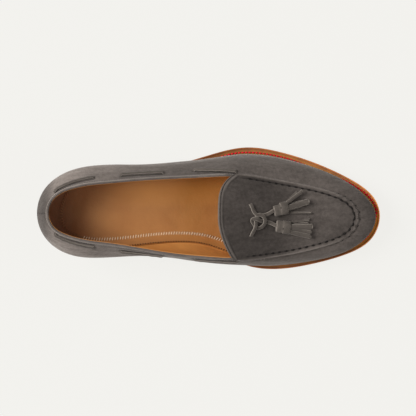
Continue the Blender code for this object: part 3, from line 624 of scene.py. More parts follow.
turns = np.radians(np.linspace(ZIGZAG_IN[-1][0], ZIGZAG_IN[0][0], 400))
rim = np.array([sock_edge(a, INSOLE_THICKNESS) for a in turns])
inward = unit(np.cross(UP, np.gradient(rim, axis=0)))
depth = smooth_line(*zip(*ZIGZAG_IN))(np.degrees(turns))
seam = rim + inward * depth[:, None]
seam[:, 2] -= SOCK_CURL * (1 - np.exp(-(depth / CURL_WIDTH) ** 2)) - 0.0003
places, ways, sideways = paced(seam, ZIGZAG_PITCH, inward)
ways = unit(ways * ZIGZAG_LEAN + unit(sideways) * ZIGZAG_WIDTH)
near_back = places[:, 0] < DARK_THREAD_REACH
for name, part, thread in (("sock_zigzag", ~near_back, cream_thread),
                           ("sock_zigzag_heel", near_back, darker_thread)):
    sew(name, places[part], ways[part], UP, (0.0036, 0.0009, 0.0006), thread, 3)
places, ways = paced(rim + inward * EDGE_STITCH_INSET + 0.0001 * UP, EDGE_STITCH_PITCH)
sew("sock_edge_stitches", places, ways, UP, (0.0013, 0.0012, 0.0006), brown_thread, 5)

# Lining
# Thin calf, cut with the upper and stitched to it at the collar and the throat. It is lasted
# down inside and shows as a tan edge round the opening.
THROAT_SHARE = 0.600         # throat corners, along the top guide
TONGUE_REACH = 0.0125        # how far the throat edge bows back between its corners
TONGUE_FADE = 4
TONGUE_SQUARENESS = (4.3, 1.9)   # power of the bow on the outer and on the inner side
SUEDE = 0.0013               # thickness of the suede, outside the lining
LINING_GAP = 0.0001
RIM_FOLD = 0.0007            # how much further in the suede reaches where it is folded at the rim
SHADE_STRIP_MIDDLE = 0.0027        # painted shadow up the lining's back: its place across the shoe
SHADE_STRIP_HALF_WIDTH = 0.0045
SHADE_STRIP_REACH = 0.04

# Rise of the apron's middle above its seams: share of the top guide, share of BACK_HEIGHT
CROWNS = [(0.50, 0.290), (0.55, 0.228), (0.60, 0.178), (0.70, 0.172), (0.80, 0.148), (0.90, 0.098),
          (0.97, 0.036), (1.00, 0.000)]
crown_rise = smooth_line([c[0] for c in CROWNS], [c[1] for c in CROWNS])
throat = float(angle_of(THROAT_SHARE))


def rise_over(value, start, length):
    t = np.clip((value - start) / length, 0.0, 1.0)
    return t * t * (3 - 2 * t)


def nearest(points, line):
    """How far each point is from a row of points, and which of them is nearest."""
    gaps, found = [], []
    for batch in np.array_split(points, 24):
        away = np.linalg.norm(batch[:, None] - line[None], axis=2)
        gaps.append(away.min(axis=1))
        found.append(away.argmin(axis=1))
    return np.concatenate(gaps), np.concatenate(found)


def apron_height(x, y):
    """Height of the apron over a place."""
    share = np.clip((x / SHOE_LENGTH - TOP_REACH[0]) / (TOP_REACH[1] - TOP_REACH[0]), 0.0, 1.0)
    outer, inner = top_line(angle_of(share)), top_line(2 * math.pi - angle_of(share))
    width = np.maximum(outer[..., 1] - inner[..., 1], 1e-6)
    across = np.clip((outer[..., 1] - y) / width, 0.0, 1.0)
    chord = outer[..., 2] + (inner[..., 2] - outer[..., 2]) * across
    return chord + BACK_HEIGHT * crown_rise(share) * (1 - (2 * across - 1) ** 2)


def on_apron(x, y, height):
    """A point that stands off the apron's face by a height."""
    x, y, height = np.broadcast_arrays(*(np.asarray(v, float) for v in (x, y, height)))
    small = 5e-4
    slope_x = (apron_height(x + small, y) - apron_height(x - small, y)) / (2 * small)
    slope_y = (apron_height(x, y + small) - apron_height(x, y - small)) / (2 * small)
    normal = unit(np.stack([-slope_x, -slope_y, np.ones_like(slope_x)], axis=-1))
    return np.stack([x, y, apron_height(x, y)], axis=-1) + height[..., None] * normal


class Sheet:
    """The outer face of the upper as one sheet: a wall round the shoe and strands over the apron."""

    def __init__(self, rear, front, rows, cells):
        outer = np.append(throat * np.arange(rear) / rear,
                          throat + (math.pi - throat) * np.arange(front) / front)
        self.angles = np.concatenate([outer, [math.pi], 2 * math.pi - outer[:0:-1]])
        self.corner, self.toe, self.columns = rear, rear + front, len(self.angles)
        climbs = np.append(np.linspace(0, 1, rows // 3), 2 - (1 - np.arange(1, rows - rows // 3 + 1)
                                                             / (rows - rows // 3)) ** 1.3)
        self.rows = len(climbs)
        wall = wall_point(self.angles[None, :], climbs[:, None])
        self.wall = np.arange(self.rows * self.columns).reshape(self.rows, self.columns)
        points, self.strands = [wall.reshape(-1, 3)], []
        share = np.arange(1, cells) / cells
        share = (share + (1 - np.cos(math.pi * share)) / 2) / 2
        power = np.where(share < 0.5, *TONGUE_SQUARENESS)
        first = self.wall.size
        for j in range(self.corner, self.toe):
            one, two = wall[-1, j], wall[-1, self.columns - j]
            forward = 1 - (j - self.corner) / (self.toe - self.corner)
            x = one[0] + (two[0] - one[0]) * share
            y = one[1] + (two[1] - one[1]) * share
            x = x - TONGUE_REACH * forward ** TONGUE_FADE * (1 - np.abs(2 * share - 1) ** power)
            points.append(np.stack([x, y, apron_height(x, y)], axis=1))
            self.strands.append([self.wall[-1, j], *range(first, first + cells - 1),
                                 self.wall[-1, self.columns - j]])
            first += cells - 1
        self.points = np.concatenate(points)
        self.faces = []
        for r in range(self.rows - 1):
            self.faces += ring_sides(r * self.columns, (r + 1) * self.columns, self.columns)
        self.faces += between(self.strands)
        last, tip = self.strands[-1], self.wall[-1, self.toe]
        self.faces += [(last[c], tip, last[c + 1]) for c in range(cells)]
        self.foot_edge = self.wall[0].tolist()
        medial = range(self.columns - self.corner + 1, self.columns)
        self.mouth, beside = ([*self.wall[row, :self.corner], *strand, *self.wall[row, medial]]
                              for row, strand in ((-1, self.strands[0]), (-2, self.strands[1])))
        self.mouth_way = unit(self.points[self.mouth] - self.points[beside])
        for k in (self.corner, self.corner + cells):
            self.mouth_way[k] = unit(self.mouth_way[k - 1] + self.mouth_way[k + 1])
        self.throat_rim = range(self.corner, self.corner + cells)
        from_rim = nearest(self.points, self.points[self.mouth])[0]
        self.fold = RIM_FOLD * (1 - rise_over(from_rim, 0.0005, 0.0030))
        self.normals = self.find_normals()

    def find_normals(self):
        quads = np.array([f if len(f) == 4 else (*f, f[2]) for f in self.faces])
        p = self.points
        across = np.cross(p[quads[:, 2]] - p[quads[:, 0]], p[quads[:, 3]] - p[quads[:, 1]])
        normals = np.zeros_like(p)
        for k in range(4):
            np.add.at(normals, quads[:, k], across)
        normals = unit(normals)
        return normals if normals[self.wall[self.rows // 2, 0], 0] < 0 else -normals

    def inside(self, depth):
        """The sheet's points moved in by a depth."""
        return self.points - np.broadcast_to(depth, len(self.points))[:, None] * self.normals

    def layer(self, outer, inner, bead):
        """Points, faces and a mark for each face: 0 for leather, 1 for the cut edge of the throat."""
        count = len(self.points)
        turned = self.faces_out()
        points = [outer, inner]
        faces = turned + [tuple(i + count for i in f[::-1]) for f in turned]
        marks = [0] * len(faces)
        ring = len(self.foot_edge)
        for j in range(ring):
            a, b = self.foot_edge[j], self.foot_edge[(j + 1) % ring]
            faces.append((a, b, b + count, a + count) if self.out_first else (b, a, a + count, b + count))
            marks.append(0)
        mouth, ring = self.mouth, len(self.mouth)
        p, q = outer[mouth], inner[mouth]
        middle, spoke = (p + q) / 2, (p - q) / 2
        reach = np.linalg.norm(spoke, axis=1, keepdims=True)
        loops = [list(mouth)]
        start = 2 * count
        for step in range(1, bead):
            turn = math.pi * step / bead
            points.append(middle + math.cos(turn) * spoke + math.sin(turn) * reach * self.mouth_way)
            loops.append(list(range(start, start + ring)))
            start += ring
        loops.append([i + count for i in mouth])
        for one, two in zip(loops, loops[1:]):
            for j in range(ring):
                k = (j + 1) % ring
                quad = (one[j], one[k], two[k], two[j])
                faces.append(quad[::-1] if self.out_first else quad)
                marks.append(1 if j in self.throat_rim else 0)
        return np.concatenate(points), faces, marks

    def faces_out(self):
        """The sheet's faces, turned so that they point out of the shoe."""
        a, b, c = (self.points[self.faces[0][k]] for k in range(3))
        self.out_first = bool(np.dot(np.cross(b - a, c - a), self.normals[self.faces[0][0]]) > 0)
        return self.faces if self.out_first else [f[::-1] for f in self.faces]


lining_tan = tan_leather("lining_leather", linear(214, 148, 78), linear(198, 130, 64), 0.6, 0.0)
sheet = Sheet(rear=64, front=56, rows=30, cells=28)
points, faces, _ = sheet.layer(sheet.inside(SUEDE + LINING_GAP + sheet.fold),
                               sheet.inside(WALL + 0.3 * sheet.fold), 4)
# Painted shadow: a dark strip up the back of the lining
in_shade_strip = 1 - rise_over(np.abs(points[:, 1] - SHADE_STRIP_MIDDLE), SHADE_STRIP_HALF_WIDTH, 0.0040)
tones = {"painted_shade": 0.9 * in_shade_strip * (points[:, 0] < SHADE_STRIP_REACH)}
dress("lining", points, faces, [lining_tan], tones=tones, replaced=["upper"])

# Upper
# Suede calf: vamp, quarters and apron. The apron is sewn to the vamp by hand with a raised seam
# that the toe puckers, and the collar's edge is folded over and stitched.
SEAM_FADE = 0.016            # the seam rises over this length in front of the throat corners
SEAM_HEIGHT = 0.0018
SEAM_HALF_WIDTH = 0.0019
SEAM_PLACE = 0.0003          # the seam's middle, down the wall from the top line
SEAM_PITCH = 0.0061          # from hand stitch to hand stitch
GROOVE_PLACE = 0.0023        # the trough on the apron's side of the seam
GROOVE_HALF_WIDTH = 0.0013
GROOVE_DEPTH = 0.0013
PUCKER_START = 0.254         # from the back of the shoe
OUTER_STITCH_PLACE = 0.0026  # the toe's outer stitches, down the wall from the top line
COLLAR_FOLD = 0.0027         # width of the folded edge along the collar
COLLAR_LACE_DROP = 0.0073    # down the wall from the top line

# Collar lace: each stretch that shows, along the top guide, and how far it lies below the top line
# at both ends on the outer and on the inner side, as shares of COLLAR_LACE_DROP
COLLAR_STRETCHES = [
    ("1", 0.032, 0.155, (0.65, 1.00), (0.60, 0.75)),
    ("2", 0.240, 0.372, (1.00, 0.90), (1.15, 1.10)),
    ("3", 0.468, 0.605, (1.15, 0.50), (1.10, 0.75)),
]

# Soft creases: where each starts and ends (degrees round the shoe, climb), its depth and width.
# A negative depth is a ridge.
CREASES = [
    ((20, 1.10), (48, 1.42), 0.0005, 0.0045),
    ((34, 1.62), (62, 1.50), 0.0004, 0.0030),
    ((58, 0.85), (82, 1.20), 0.0006, 0.0060),
    ((74, 1.55), (98, 1.35), -0.0004, 0.0035),
    ((88, 0.75), (112, 1.05), 0.0005, 0.0055),
    ((104, 1.70), (118, 1.30), 0.0005, 0.0040),
    ((-18, 1.20), (-44, 1.46), 0.0005, 0.0045),
    ((-46, 1.60), (-70, 1.45), 0.0004, 0.0032),
    ((-60, 0.80), (-84, 1.15), 0.0007, 0.0060),
    ((-80, 1.50), (-100, 1.32), -0.0004, 0.0035),
    ((-92, 0.95), (-112, 1.15), 0.0006, 0.0045),
    ((-106, 1.65), (-120, 1.35), 0.0005, 0.0040),
    ((132, 1.20), (146, 1.45), 0.0004, 0.0045),
    ((-134, 1.25), (-150, 1.48), 0.0004, 0.0045),
]


def hump(value, half_width):
    """1 in the middle, falling smoothly to 0 at the half width."""
    return np.where(np.abs(value) < half_width, np.cos(np.pi * value / (2 * half_width)) ** 2, 0.0)


def suede(name, light, dark, sheen):
    """Suede: brushed nap in soft light and dark patches, with a fuzzy sheen and a fine tooth,
    and with painted light and shade, painted highlights and painted shade in grooves from attributes.
    """
    made, tree, surface = shader(name, 0.92, **{
        "Specular IOR Level": 0.12, "Sheen Weight": sheen, "Sheen Roughness": 0.42,
        "Sheen Tint": linear(214, 205, 198)})
    patches = noise_of(tree, 0.022, 5.0, (0.7, 1.2, 1.0))
    strokes = noise_of(tree, 0.006, 4.0, (0.35, 1.6, 1.3))
    dapple = noise_of(tree, 0.0028, 3.0)
    grain = noise_of(tree, 0.0006, 2.0)
    colour = ramp_of(tree, patches, [(0.41, dark), (0.59, light)])
    for share, layer in ((0.50, strokes), (0.35, dapple), (0.25, grain)):
        colour = blend_of(tree, share, colour, ramp_of(tree, layer, [(0.41, dark), (0.59, light)]))
    # Painted light and shade: an attribute scales the colour from half to 1.69 times
    painted_lighting_scale = ramp_of(tree, attribute_of(tree, "nap"),
                      [(0.0, (0.5, 0.5, 0.5, 1)), (1.0, (1.69, 1.69, 1.69, 1))])
    colour = blend_of(tree, 1.0, colour, painted_lighting_scale, "MULTIPLY")
    # Painted highlight on ridges and folded edges
    colour = blend_of(tree, attribute_of(tree, "painted_edge_highlight"), colour, linear(150, 140, 132))
    # Painted shade in grooves, troughs and stitch lines
    colour = blend_of(tree, attribute_of(tree, "painted_groove_shade"), colour, tuple(0.25 * c for c in dark[:3]) + (1.0,))
    tree.links.new(colour, surface.inputs["Base Color"])
    bump_of(tree, surface, [(grain, 0.00022), (strokes, 0.0006)])
    return made


grey_suede = suede("grey_suede", linear(113, 104, 98), linear(80, 73, 68), 0.45)
cut_edge = suede("suede_cut_edge", linear(112, 101, 93), linear(94, 84, 77), 0.20)

sheet = Sheet(rear=118, front=150, rows=42, cells=60)
wall, apron = slice(0, sheet.wall.size), slice(sheet.wall.size, None)
wall_run = np.linalg.norm(np.diff(sheet.points[sheet.wall], axis=0), axis=2)
down = np.concatenate([np.cumsum(wall_run[::-1], axis=0)[::-1], np.zeros((1, sheet.columns))])
seam_turns = np.linspace(throat, 2 * math.pi - throat, 900)
seam_line = top_line(seam_turns)
seam_run = np.append(0.0, np.cumsum(np.linalg.norm(np.diff(seam_line, axis=0), axis=1)))
gaps, found = nearest(sheet.points[apron], seam_line)
off_seam = np.append(down.ravel(), -gaps)
seam_at = np.append(np.tile(np.interp(sheet.angles, seam_turns, seam_run), sheet.rows), seam_run[found])
seam_x = np.interp(seam_at, seam_run, seam_line[:, 0])
strength = rise_over(seam_x, seam_line[0, 0], SEAM_FADE)
pucker = rise_over(seam_x, PUCKER_START, 0.016)
phase = seam_at / SEAM_PITCH
nip = np.exp(-((np.mod(phase, 1.0) - 0.5) / 0.16) ** 2)
wander = 0.0004 * pucker * np.sin(2 * math.pi * seam_at / 0.0083)
ridge = hump(off_seam - SEAM_PLACE - wander, SEAM_HALF_WIDTH)
ridge *= SEAM_HEIGHT * strength * (1 - 0.25 * pucker) * (1 - nip * (0.12 + 0.5 * pucker))
trough = hump(off_seam + GROOVE_PLACE + wander, GROOVE_HALF_WIDTH) * strength
outer_pits = hump(off_seam - OUTER_STITCH_PLACE - wander, 0.0011) * pucker * nip
pleats = np.cos(2 * math.pi * seam_at / 0.0058) * pucker * np.exp(-((off_seam - 0.0045) / 0.0030) ** 2)
relief = ridge - GROOVE_DEPTH * trough * (0.5 + 0.5 * nip) - 0.0006 * outer_pits + 0.00018 * pleats
outer_side = seam_at < seam_run[-1] / 2
# Painted shade in the trough beside the seam and in the stitch pits at the toe
shade = np.where(outer_side, 0.96 + 0.04 * nip, 0.40 + 0.60 * nip)
painted_groove_shade = np.clip(trough * shade + 0.85 * outer_pits, 0, 1)
# Painted highlight along the top of the seam's ridge
painted_edge_highlight = (0.26 - 0.22 * pucker) * hump(off_seam - SEAM_PLACE - wander, 0.0014) * strength
painted_edge_highlight *= 1 - 0.8 * nip * pucker

# The throat's folded edge, and the line of stitches behind it
rim = sheet.strands[0]
rim_gap = np.full(len(sheet.points), 1.0)
rim_gap[apron] = nearest(sheet.points[apron], sheet.points[rim])[0]
rim_gap[rim] = 0.0
relief += 0.00035 * (1 - rise_over(rim_gap, 0.0022, 0.0012)) - 0.0004 * hump(rim_gap - 0.0036, 0.0010)
# Painted highlight on the throat's folded edge
painted_edge_highlight = np.maximum(painted_edge_highlight, 0.42 * hump(rim_gap - 0.0019, 0.0015))
# Painted shade along the stitch line behind the throat's edge
painted_groove_shade = np.maximum(painted_groove_shade, 0.50 * hump(rim_gap - 0.0036, 0.0009))

# The trough that the collar lace is drawn into, on its collar side
lace_drop = np.zeros(sheet.columns)
lace_there = np.zeros(sheet.columns)
for _, start, end, *drops in COLLAR_STRETCHES:
    for side, ends in zip((1, -1), drops):
        turns = np.mod(side * sheet.angles + math.pi, 2 * math.pi) - math.pi
        low, high = float(angle_of(start)), float(angle_of(end))
        inside = rise_over(turns, low - 0.02, 0.02) * (1 - rise_over(turns, high, 0.02))
        drop = COLLAR_LACE_DROP * np.interp(turns, [low, high], ends)
        lace_drop = np.where(inside > 0, drop, lace_drop)
        lace_there = np.maximum(lace_there, inside)
lace_trough = (hump(down - lace_drop + 0.0017, 0.0014) * lace_there).ravel()
relief[wall] -= 0.0010 * lace_trough
# Painted shadow in the trough beside the collar lace
painted_groove_shade[wall] = np.maximum(painted_groove_shade[wall], 0.95 * lace_trough)

# The collar's folded edge
along = sheet.points[:, 0]
behind = (1 - rise_over(along, seam_line[0, 0] - 0.012, 0.012)) * (off_seam >= 0)
relief -= 0.0004 * hump(off_seam - COLLAR_FOLD, 0.0011) * behind
# Painted shade along the collar's fold
painted_groove_shade = np.maximum(painted_groove_shade, 0.25 * hump(off_seam - COLLAR_FOLD, 0.0010) * behind)
# Painted highlight on the collar's folded edge
painted_edge_highlight = np.maximum(painted_edge_highlight, 0.45 * (1 - rise_over(off_seam, 0.0018, 0.0008)) * behind)

# Painted light and shade on the suede: lighter on the heel that faces the key light, darker on the apron
PAINTED_LIGHTING = [(0.000, -0.10), (0.007, 0.00), (0.017, 0.98), (0.030, 1.00), (0.042, 0.90), (0.060, 0.78),
       (0.085, 0.48), (0.098, 0.37), (0.142, 0.16), (0.185, 0.27), (0.230, 0.31), (0.257, 0.24),
       (0.270, 0.17), (0.300, 0.05)]
nap = np.interp(along, *zip(*PAINTED_LIGHTING))
nap[apron] -= 0.24 * (1 - rise_over(along[apron], 0.210, 0.030)) + 0.04
inner_wall = ~outer_side & (off_seam > 0)
nap += inner_wall * (0.16 * hump(along - 0.270, 0.030) - 0.10 * hump(along - 0.228, 0.030))

for start, end, depth, width in CREASES:
    t = np.linspace(0, 1, 24)
    line = wall_point(np.radians(start[0] + (end[0] - start[0]) * t), start[1] + (end[1] - start[1]) * t)
    gaps, found = nearest(sheet.points[wall], line)
    soft = np.sin(math.pi * (found + 1) / (len(t) + 1))
    relief[wall] -= depth * soft * np.exp(-(gaps / width) ** 2)

outer = sheet.points + relief[:, None] * sheet.normals
points, faces, marks = sheet.layer(outer, sheet.inside(SUEDE + sheet.fold), 5)
tones = {"painted_groove_shade": np.zeros(len(points)), "painted_edge_highlight": np.zeros(len(points)), "nap": np.full(len(points), 0.44)}
for name, values in (("painted_groove_shade", painted_groove_shade), ("painted_edge_highlight", painted_edge_highlight), ("nap", nap)):
    tones[name][:len(values)] = values
dress("upper_suede", points, faces, [grey_suede, cut_edge], marks, tones, replaced=["upper"])

# Seams of the upper
# The apron is sewn on by hand with a doubled waxed thread, which lies dark in the trough beside
# the seam. The folded collar and the back seam are closed by fine machine stitches.
def down_wall(angles, drops):
    """Points of the outer face at distances below the top line, and its normals there."""
    angles, drops = np.broadcast_arrays(np.asarray(angles, float), np.asarray(drops, float))
    climbs = np.linspace(2.0, 1.0, 41)
    path = wall_point(angles[:, None], climbs[None, :])
    steps = np.linalg.norm(np.diff(path, axis=1), axis=2)
    runs = np.concatenate([np.zeros((len(angles), 1)), np.cumsum(steps, axis=1)], axis=1)
    climb = np.array([np.interp(drop, run, climbs) for drop, run in zip(drops, runs)])
    return wall_point(angles, climb), wall_normal(angles, climb)


apron_thread = thread_of("apron_thread", linear(34, 30, 27))
grey_thread = thread_of("grey_thread", linear(96, 90, 85))
pale_thread = thread_of("pale_thread", linear(158, 150, 142))

runs = (np.arange(int(seam_run[-1] / SEAM_PITCH)) + 0.5) * SEAM_PITCH
turns = np.interp(runs, seam_run, seam_turns)
edge = top_line(turns)
ways = unit(top_line(turns + 1e-3) - top_line(turns - 1e-3))
inward = unit(np.stack([ways[:, 1], -ways[:, 0], np.zeros(len(ways))], axis=1))
sewn = edge[:, 0] > seam_line[0, 0] + 0.9 * SEAM_FADE
place = edge + GROOVE_PLACE * inward
upright = unit(on_apron(place[:, 0], place[:, 1], 0.001) - on_apron(place[:, 0], place[:, 1], 0.0))
place = on_apron(place[:, 0], place[:, 1], -0.0003)
sew("apron_stitches", place[sewn], ways[sewn], upright[sewn], (0.0034, 0.0022, 0.0012), apron_thread, 7,
    0.25)
puckered = edge[:, 0] > PUCKER_START + 0.004
place, upright = down_wall(turns[puckered], OUTER_STITCH_PLACE)
sew("toe_stitches", place - 0.0003 * upright, ways[puckered], upright, (0.0017, 0.0010, 0.0007),
    apron_thread, 8, 0.3)

place, upright = down_wall(np.linspace(-throat, throat, 700), 0.0018)
place, ways, upright = paced(place, 0.0022, upright)
sew("collar_stitches", place, ways, upright, (0.0016, 0.00045, 0.0004), grey_thread, 9)

for name, turn, thread, width, pitch in (("back_seam", 0.0, apron_thread, 0.0005, 0.0016),
                                         ("back_stitches_left", 0.024, grey_thread, 0.00045, 0.0024),
                                         ("back_stitches_right", -0.024, grey_thread, 0.00045, 0.0024)):
    climbs = np.linspace(0.03, 1.95, 120)
    line, upright = wall_point(turn, climbs), wall_normal(turn, climbs)
    place, ways, upright = paced(line, pitch, upright)
    sew(name, place, ways, upright, (0.0018, width, 0.0004), thread, 11)

tack = -angle_of(np.array([0.682, 0.693]))
place, upright = down_wall(tack, 0.0022)
below, _ = down_wall(tack, 0.0026)
sew("bar_tack", place, unit(below - place), upright, (0.0040, 0.0011, 0.0009), pale_thread, 13)

# Collar lace
# A flat suede lace threaded through slots all round the collar: three stretches show on each
# side, drawn into the leather at both ends.
LACE_HALF_WIDTH = 0.0014
LACE_HALF_HEIGHT = 0.00085
LACE_DIVE = 0.0030           # length over which a stretch goes down into its slot
LACE_SIDES = 16
SLOT_HALF_LENGTH = 0.0020
SLOT_HALF_WIDTH = 0.0006
lace_suede = suede("lace_suede", linear(132, 122, 113), linear(104, 96, 89), 0.35)
# Pale cut edges of laces and strips, carried onto rounded shoulders and bevels as a painted highlight
lace_edge_and_highlight = suede("lace_cut_edge_and_highlight", linear(204, 192, 179), linear(166, 155, 144), 0.25)
# A dimmer paler suede: painted highlight on the collar laces' edges and the caps' rolled ends
lace_dim_highlight = suede("lace_dim_edge_highlight", linear(184, 172, 160), linear(150, 139, 129), 0.30)
# A dark material: painted shadow in the lace slots, and the thread of the tassels' closing stitch
slot_shadow_and_stitch_dark = shader("slot_shadow_and_stitch", 0.95, **{"Base Color": linear(42, 38, 35), "Specular IOR Level": 0.0})[0]


def tube(rings, sides, flip=False):
    """Faces along closed rings of points, with both ends closed."""
    faces = [f for row in range(rings - 1) for f in ring_sides(row * sides, (row + 1) * sides, sides)]
    last = (rings - 1) * sides
    faces += [tuple(range(sides))[::-1], tuple(range(last, last + sides))]
    return [face[::-1] for face in faces] if flip else faces


def squarish(turns, wide, high):
    """An oval's places across and up, squared off by two powers: less is squarer."""
    return [np.sign(part) * np.abs(part) ** power
            for part, power in ((np.cos(turns), wide), (np.sin(turns), high))]


def lace_strand(line, upright, half_width=LACE_HALF_WIDTH, half_height=LACE_HALF_HEIGHT, edge=0.90):
    """A flat lace with rounded edges along a line: points, faces and 1 for faces on its cut edges,
    and with a lower threshold its rounded shoulders too, which take a paler material as a painted
    highlight.
    """
    way = unit(np.gradient(line, axis=0))
    across = unit(np.cross(upright, way))
    upright = np.cross(way, across)
    turns = round_angles(LACE_SIDES)
    wide, high = squarish(turns, 0.7, 0.8)
    rows = line[:, None] + half_width * wide[None, :, None] * across[:, None]
    rows += half_height * high[None, :, None] * upright[:, None]
    marks = [int(abs(math.cos(t + math.pi / LACE_SIDES)) > edge) for t in turns] * (len(line) - 1)
    return rows.reshape(-1, 3), tube(len(line), LACE_SIDES), marks + [0, 0]


for side, sign in (("lateral", 1), ("medial", -1)):
    for number, start, end, *both_drops in COLLAR_STRETCHES:
        drops = both_drops[sign < 0]
        low, high = float(angle_of(start)), float(angle_of(end))
        t = np.linspace(-0.04, 1.04, 90)
        line, upright = down_wall(sign * (low + (high - low) * t),
                                  COLLAR_LACE_DROP * (drops[0] + (drops[1] - drops[0]) * t))
        runs = np.append(0.0, np.cumsum(np.linalg.norm(np.diff(line, axis=0), axis=1)))
        from_end = np.minimum(runs, runs[-1] - runs)
        height = 0.0010 - 0.0028 * (1 - rise_over(from_end, 0.0, LACE_DIVE))
        height += 0.00012 * np.sin(runs * 900 + 2 * sign + int(number))
        points, faces, marks = lace_strand(line + height[:, None] * upright, upright)
        dress(f"collar_lace_{side}_{number}_strand", points, faces, [lace_suede, lace_dim_highlight], marks,
              replaced=[f"collar_lace_{side}_{number}"])

# Dark discs over the slot ends paint the shadow inside each slot
points, faces = [], []
for sign, drops_at in ((1, 3), (-1, 4)):
    for row in COLLAR_STRETCHES:
        for share, drop in zip(row[1:3], row[drops_at]):
            turn = sign * float(angle_of(share))
            small, _ = down_wall(np.array([turn - 0.005, turn + 0.005]), COLLAR_LACE_DROP * drop)
            per_angle = np.linalg.norm(small[1] - small[0]) / 0.01
            spin = round_angles(20)
            place, upright = down_wall(turn + SLOT_HALF_WIDTH * np.cos(spin) / per_angle,
                                       COLLAR_LACE_DROP * drop + SLOT_HALF_LENGTH * np.sin(spin))
            middle, out = down_wall(np.array([turn]), COLLAR_LACE_DROP * drop)
            first = len(points) * 21
            points.append(np.concatenate([place + 0.0001 * upright, middle - 0.0002 * out]))
            faces += [(first + 20, first + k, first + (k + 1) % 20) for k in range(20)]
dress("lace_slot_shadows", np.concatenate(points), faces, [slot_shadow_and_stitch_dark])

# Welt and sole
# A tan leather welt goes round the sole's edge and on round the heel as a rand. It is sewn through
# the leather sole with thick red waxed thread.
SOLE_REACH_LENGTH = SHOE_LENGTH * (SOLE_REACH[1] - SOLE_REACH[0])
WELT_REACH = 0.0055          # how far the welt runs in under the upper
HEEL_LENGTH = 0.0715         # back of the shoe to the heel breast
# Line of the welt's stitches, from the sole's edge to the foot of the upper: degrees round the
# shoe and share. It runs close under the upper's side where that stands out.
STITCH_LINE = [(70, 0.86), (90, 0.84), (98, 0.56), (118, 0.52), (122, 0.58), (127, 0.66), (139, 0.66),
               (143, 0.50), (152, 0.42), (160, 0.37), (174, 0.36), (180, 0.50), (185, 0.66), (192, 0.66),
               (198, 0.58), (206, 0.70), (228, 0.86), (290, 0.86)]
STITCH_PITCH = 0.0031
FRONT_STITCHES = 0.266       # from here on the stitches lie wider, round the toe
WHITE = (1, 1, 1, 1)


def edge_leather(name, attribute, stops, roughness, coat):
    """Leather whose tone follows an attribute, as it does where an edge is inked and waxed; on the welt
    the tones also hold a painted highlight, and "painted_welt_highlight" paints it paler as light.
    """
    made, tree, surface = shader(name, roughness, **{"Coat Weight": coat, "Coat Roughness": 0.25})
    tone = ramp_of(tree, attribute_of(tree, attribute), stops)
    # Painted highlight: paler and cooler where the attribute rises
    painted_welt_highlight = ramp_of(tree, attribute_of(tree, "painted_welt_highlight"), [(0.0, WHITE), (1.0, (3.4, 3.85, 5.5, 1))])
    tone = blend_of(tree, 1.0, tone, painted_welt_highlight, "MULTIPLY")
    cloud = ramp_of(tree, noise_of(tree, 0.009, 4.0), [(0.35, (0.72, 0.70, 0.68, 1)), (0.65, WHITE)])
    tree.links.new(blend_of(tree, 1.0, tone, cloud, "MULTIPLY"), surface.inputs["Base Color"])
    bump_of(tree, surface, [(noise_of(tree, 0.0009, 3.0), 0.00012)])
    return made


# Tones from the welt's outer face inwards, as shares of 6 mm: its own tan and darker bands, with a
# painted highlight in the pale band just inside the rounded edge
welt_tan = edge_leather("welt_leather", "inward", [
    (0.00, linear(118, 62, 17)), (0.03, linear(168, 94, 32)), (0.12, linear(162, 90, 28)),
    (0.18, linear(114, 59, 9)), (0.26, linear(116, 61, 9)), (0.36, linear(134, 76, 12)),
    (0.52, linear(147, 85, 18)), (0.70, linear(147, 93, 26)), (1.00, linear(142, 88, 24))], 0.55, 0.05)
red_thread = thread_of("red_thread", linear(238, 6, 44), 0.6)
# Painted shade: dark red ovals at the stitch holes between the red stitches
stitch_hole_shade = thread_of("stitch_hole_shade", linear(84, 24, 22), 0.6)


def welt_part(name, angles, replaced):
    """The strip between the sole's edge and a line under the upper, with its outer edge rounded."""
    outer, inner = sole_plan(angles), inset(feather_plan, angles, WELT_REACH)
    width = np.linalg.norm(inner - outer, axis=1)
    way = (inner - outer) / width[:, None]
    thick = WELT_THICKNESS
    profile = [(None, 0.0), (0.0004, 0.0), (0.0, 0.0005), (0.0, thick - 0.0008), (0.0002, thick - 0.0003),
               (0.0007, thick), (0.0012, thick + 0.00005), (0.0017, thick - 0.0002),
               (0.0024, thick), (0.0036, thick), (None, thick)]
    distance = np.stack([width if reach is None else np.full(len(width), reach) for reach, _ in profile])
    plan = outer + distance[..., None] * way
    heights = np.array([height for _, height in profile])[:, None]
    rows = raised(plan, sole_top(plan[..., 0]) + CLEARANCE + heights)
    count, sides = len(angles), len(profile)
    loop = np.arange(sides * count).reshape(sides, count)
    faces = between(loop[[*range(sides), 0]].tolist())
    faces += [loop[:, 0].tolist(), loop[::-1, -1].tolist()]
    x, y = rows[..., 0], rows[..., 1]
    toe = rise_over(x, 0.262, 0.025)
    # Painted highlight: paler towards the toe and on the outer side, less on the shaded inner side
    painted_welt_highlight = 0.43 * rise_over(x, 0.165, 0.100) * np.where(y < 0, 0.3 + 0.7 * toe, 1.0)
    painted_welt_highlight += 0.23 * toe + 0.33 * rise_over(x, 0.286, 0.010)
    tones = {"inward": distance.ravel() / 0.006, "painted_welt_highlight": painted_welt_highlight.ravel()}
    dress(name, rows.reshape(-1, 3), faces, [welt_tan], tones=tones, replaced=[replaced])


breast = float(angle_of((HEEL_LENGTH / SHOE_LENGTH - SOLE_REACH[0]) / (SOLE_REACH[1] - SOLE_REACH[0])))
gap = CLEARANCE / (SOLE_REACH_LENGTH * math.sin(breast) / 2)
welt_part("welt_strip", np.linspace(breast + gap, 2 * math.pi - breast - gap, 420), "welt")
welt_part("heel_rand_strip", np.linspace(-breast, breast, 150), "heel_rand")

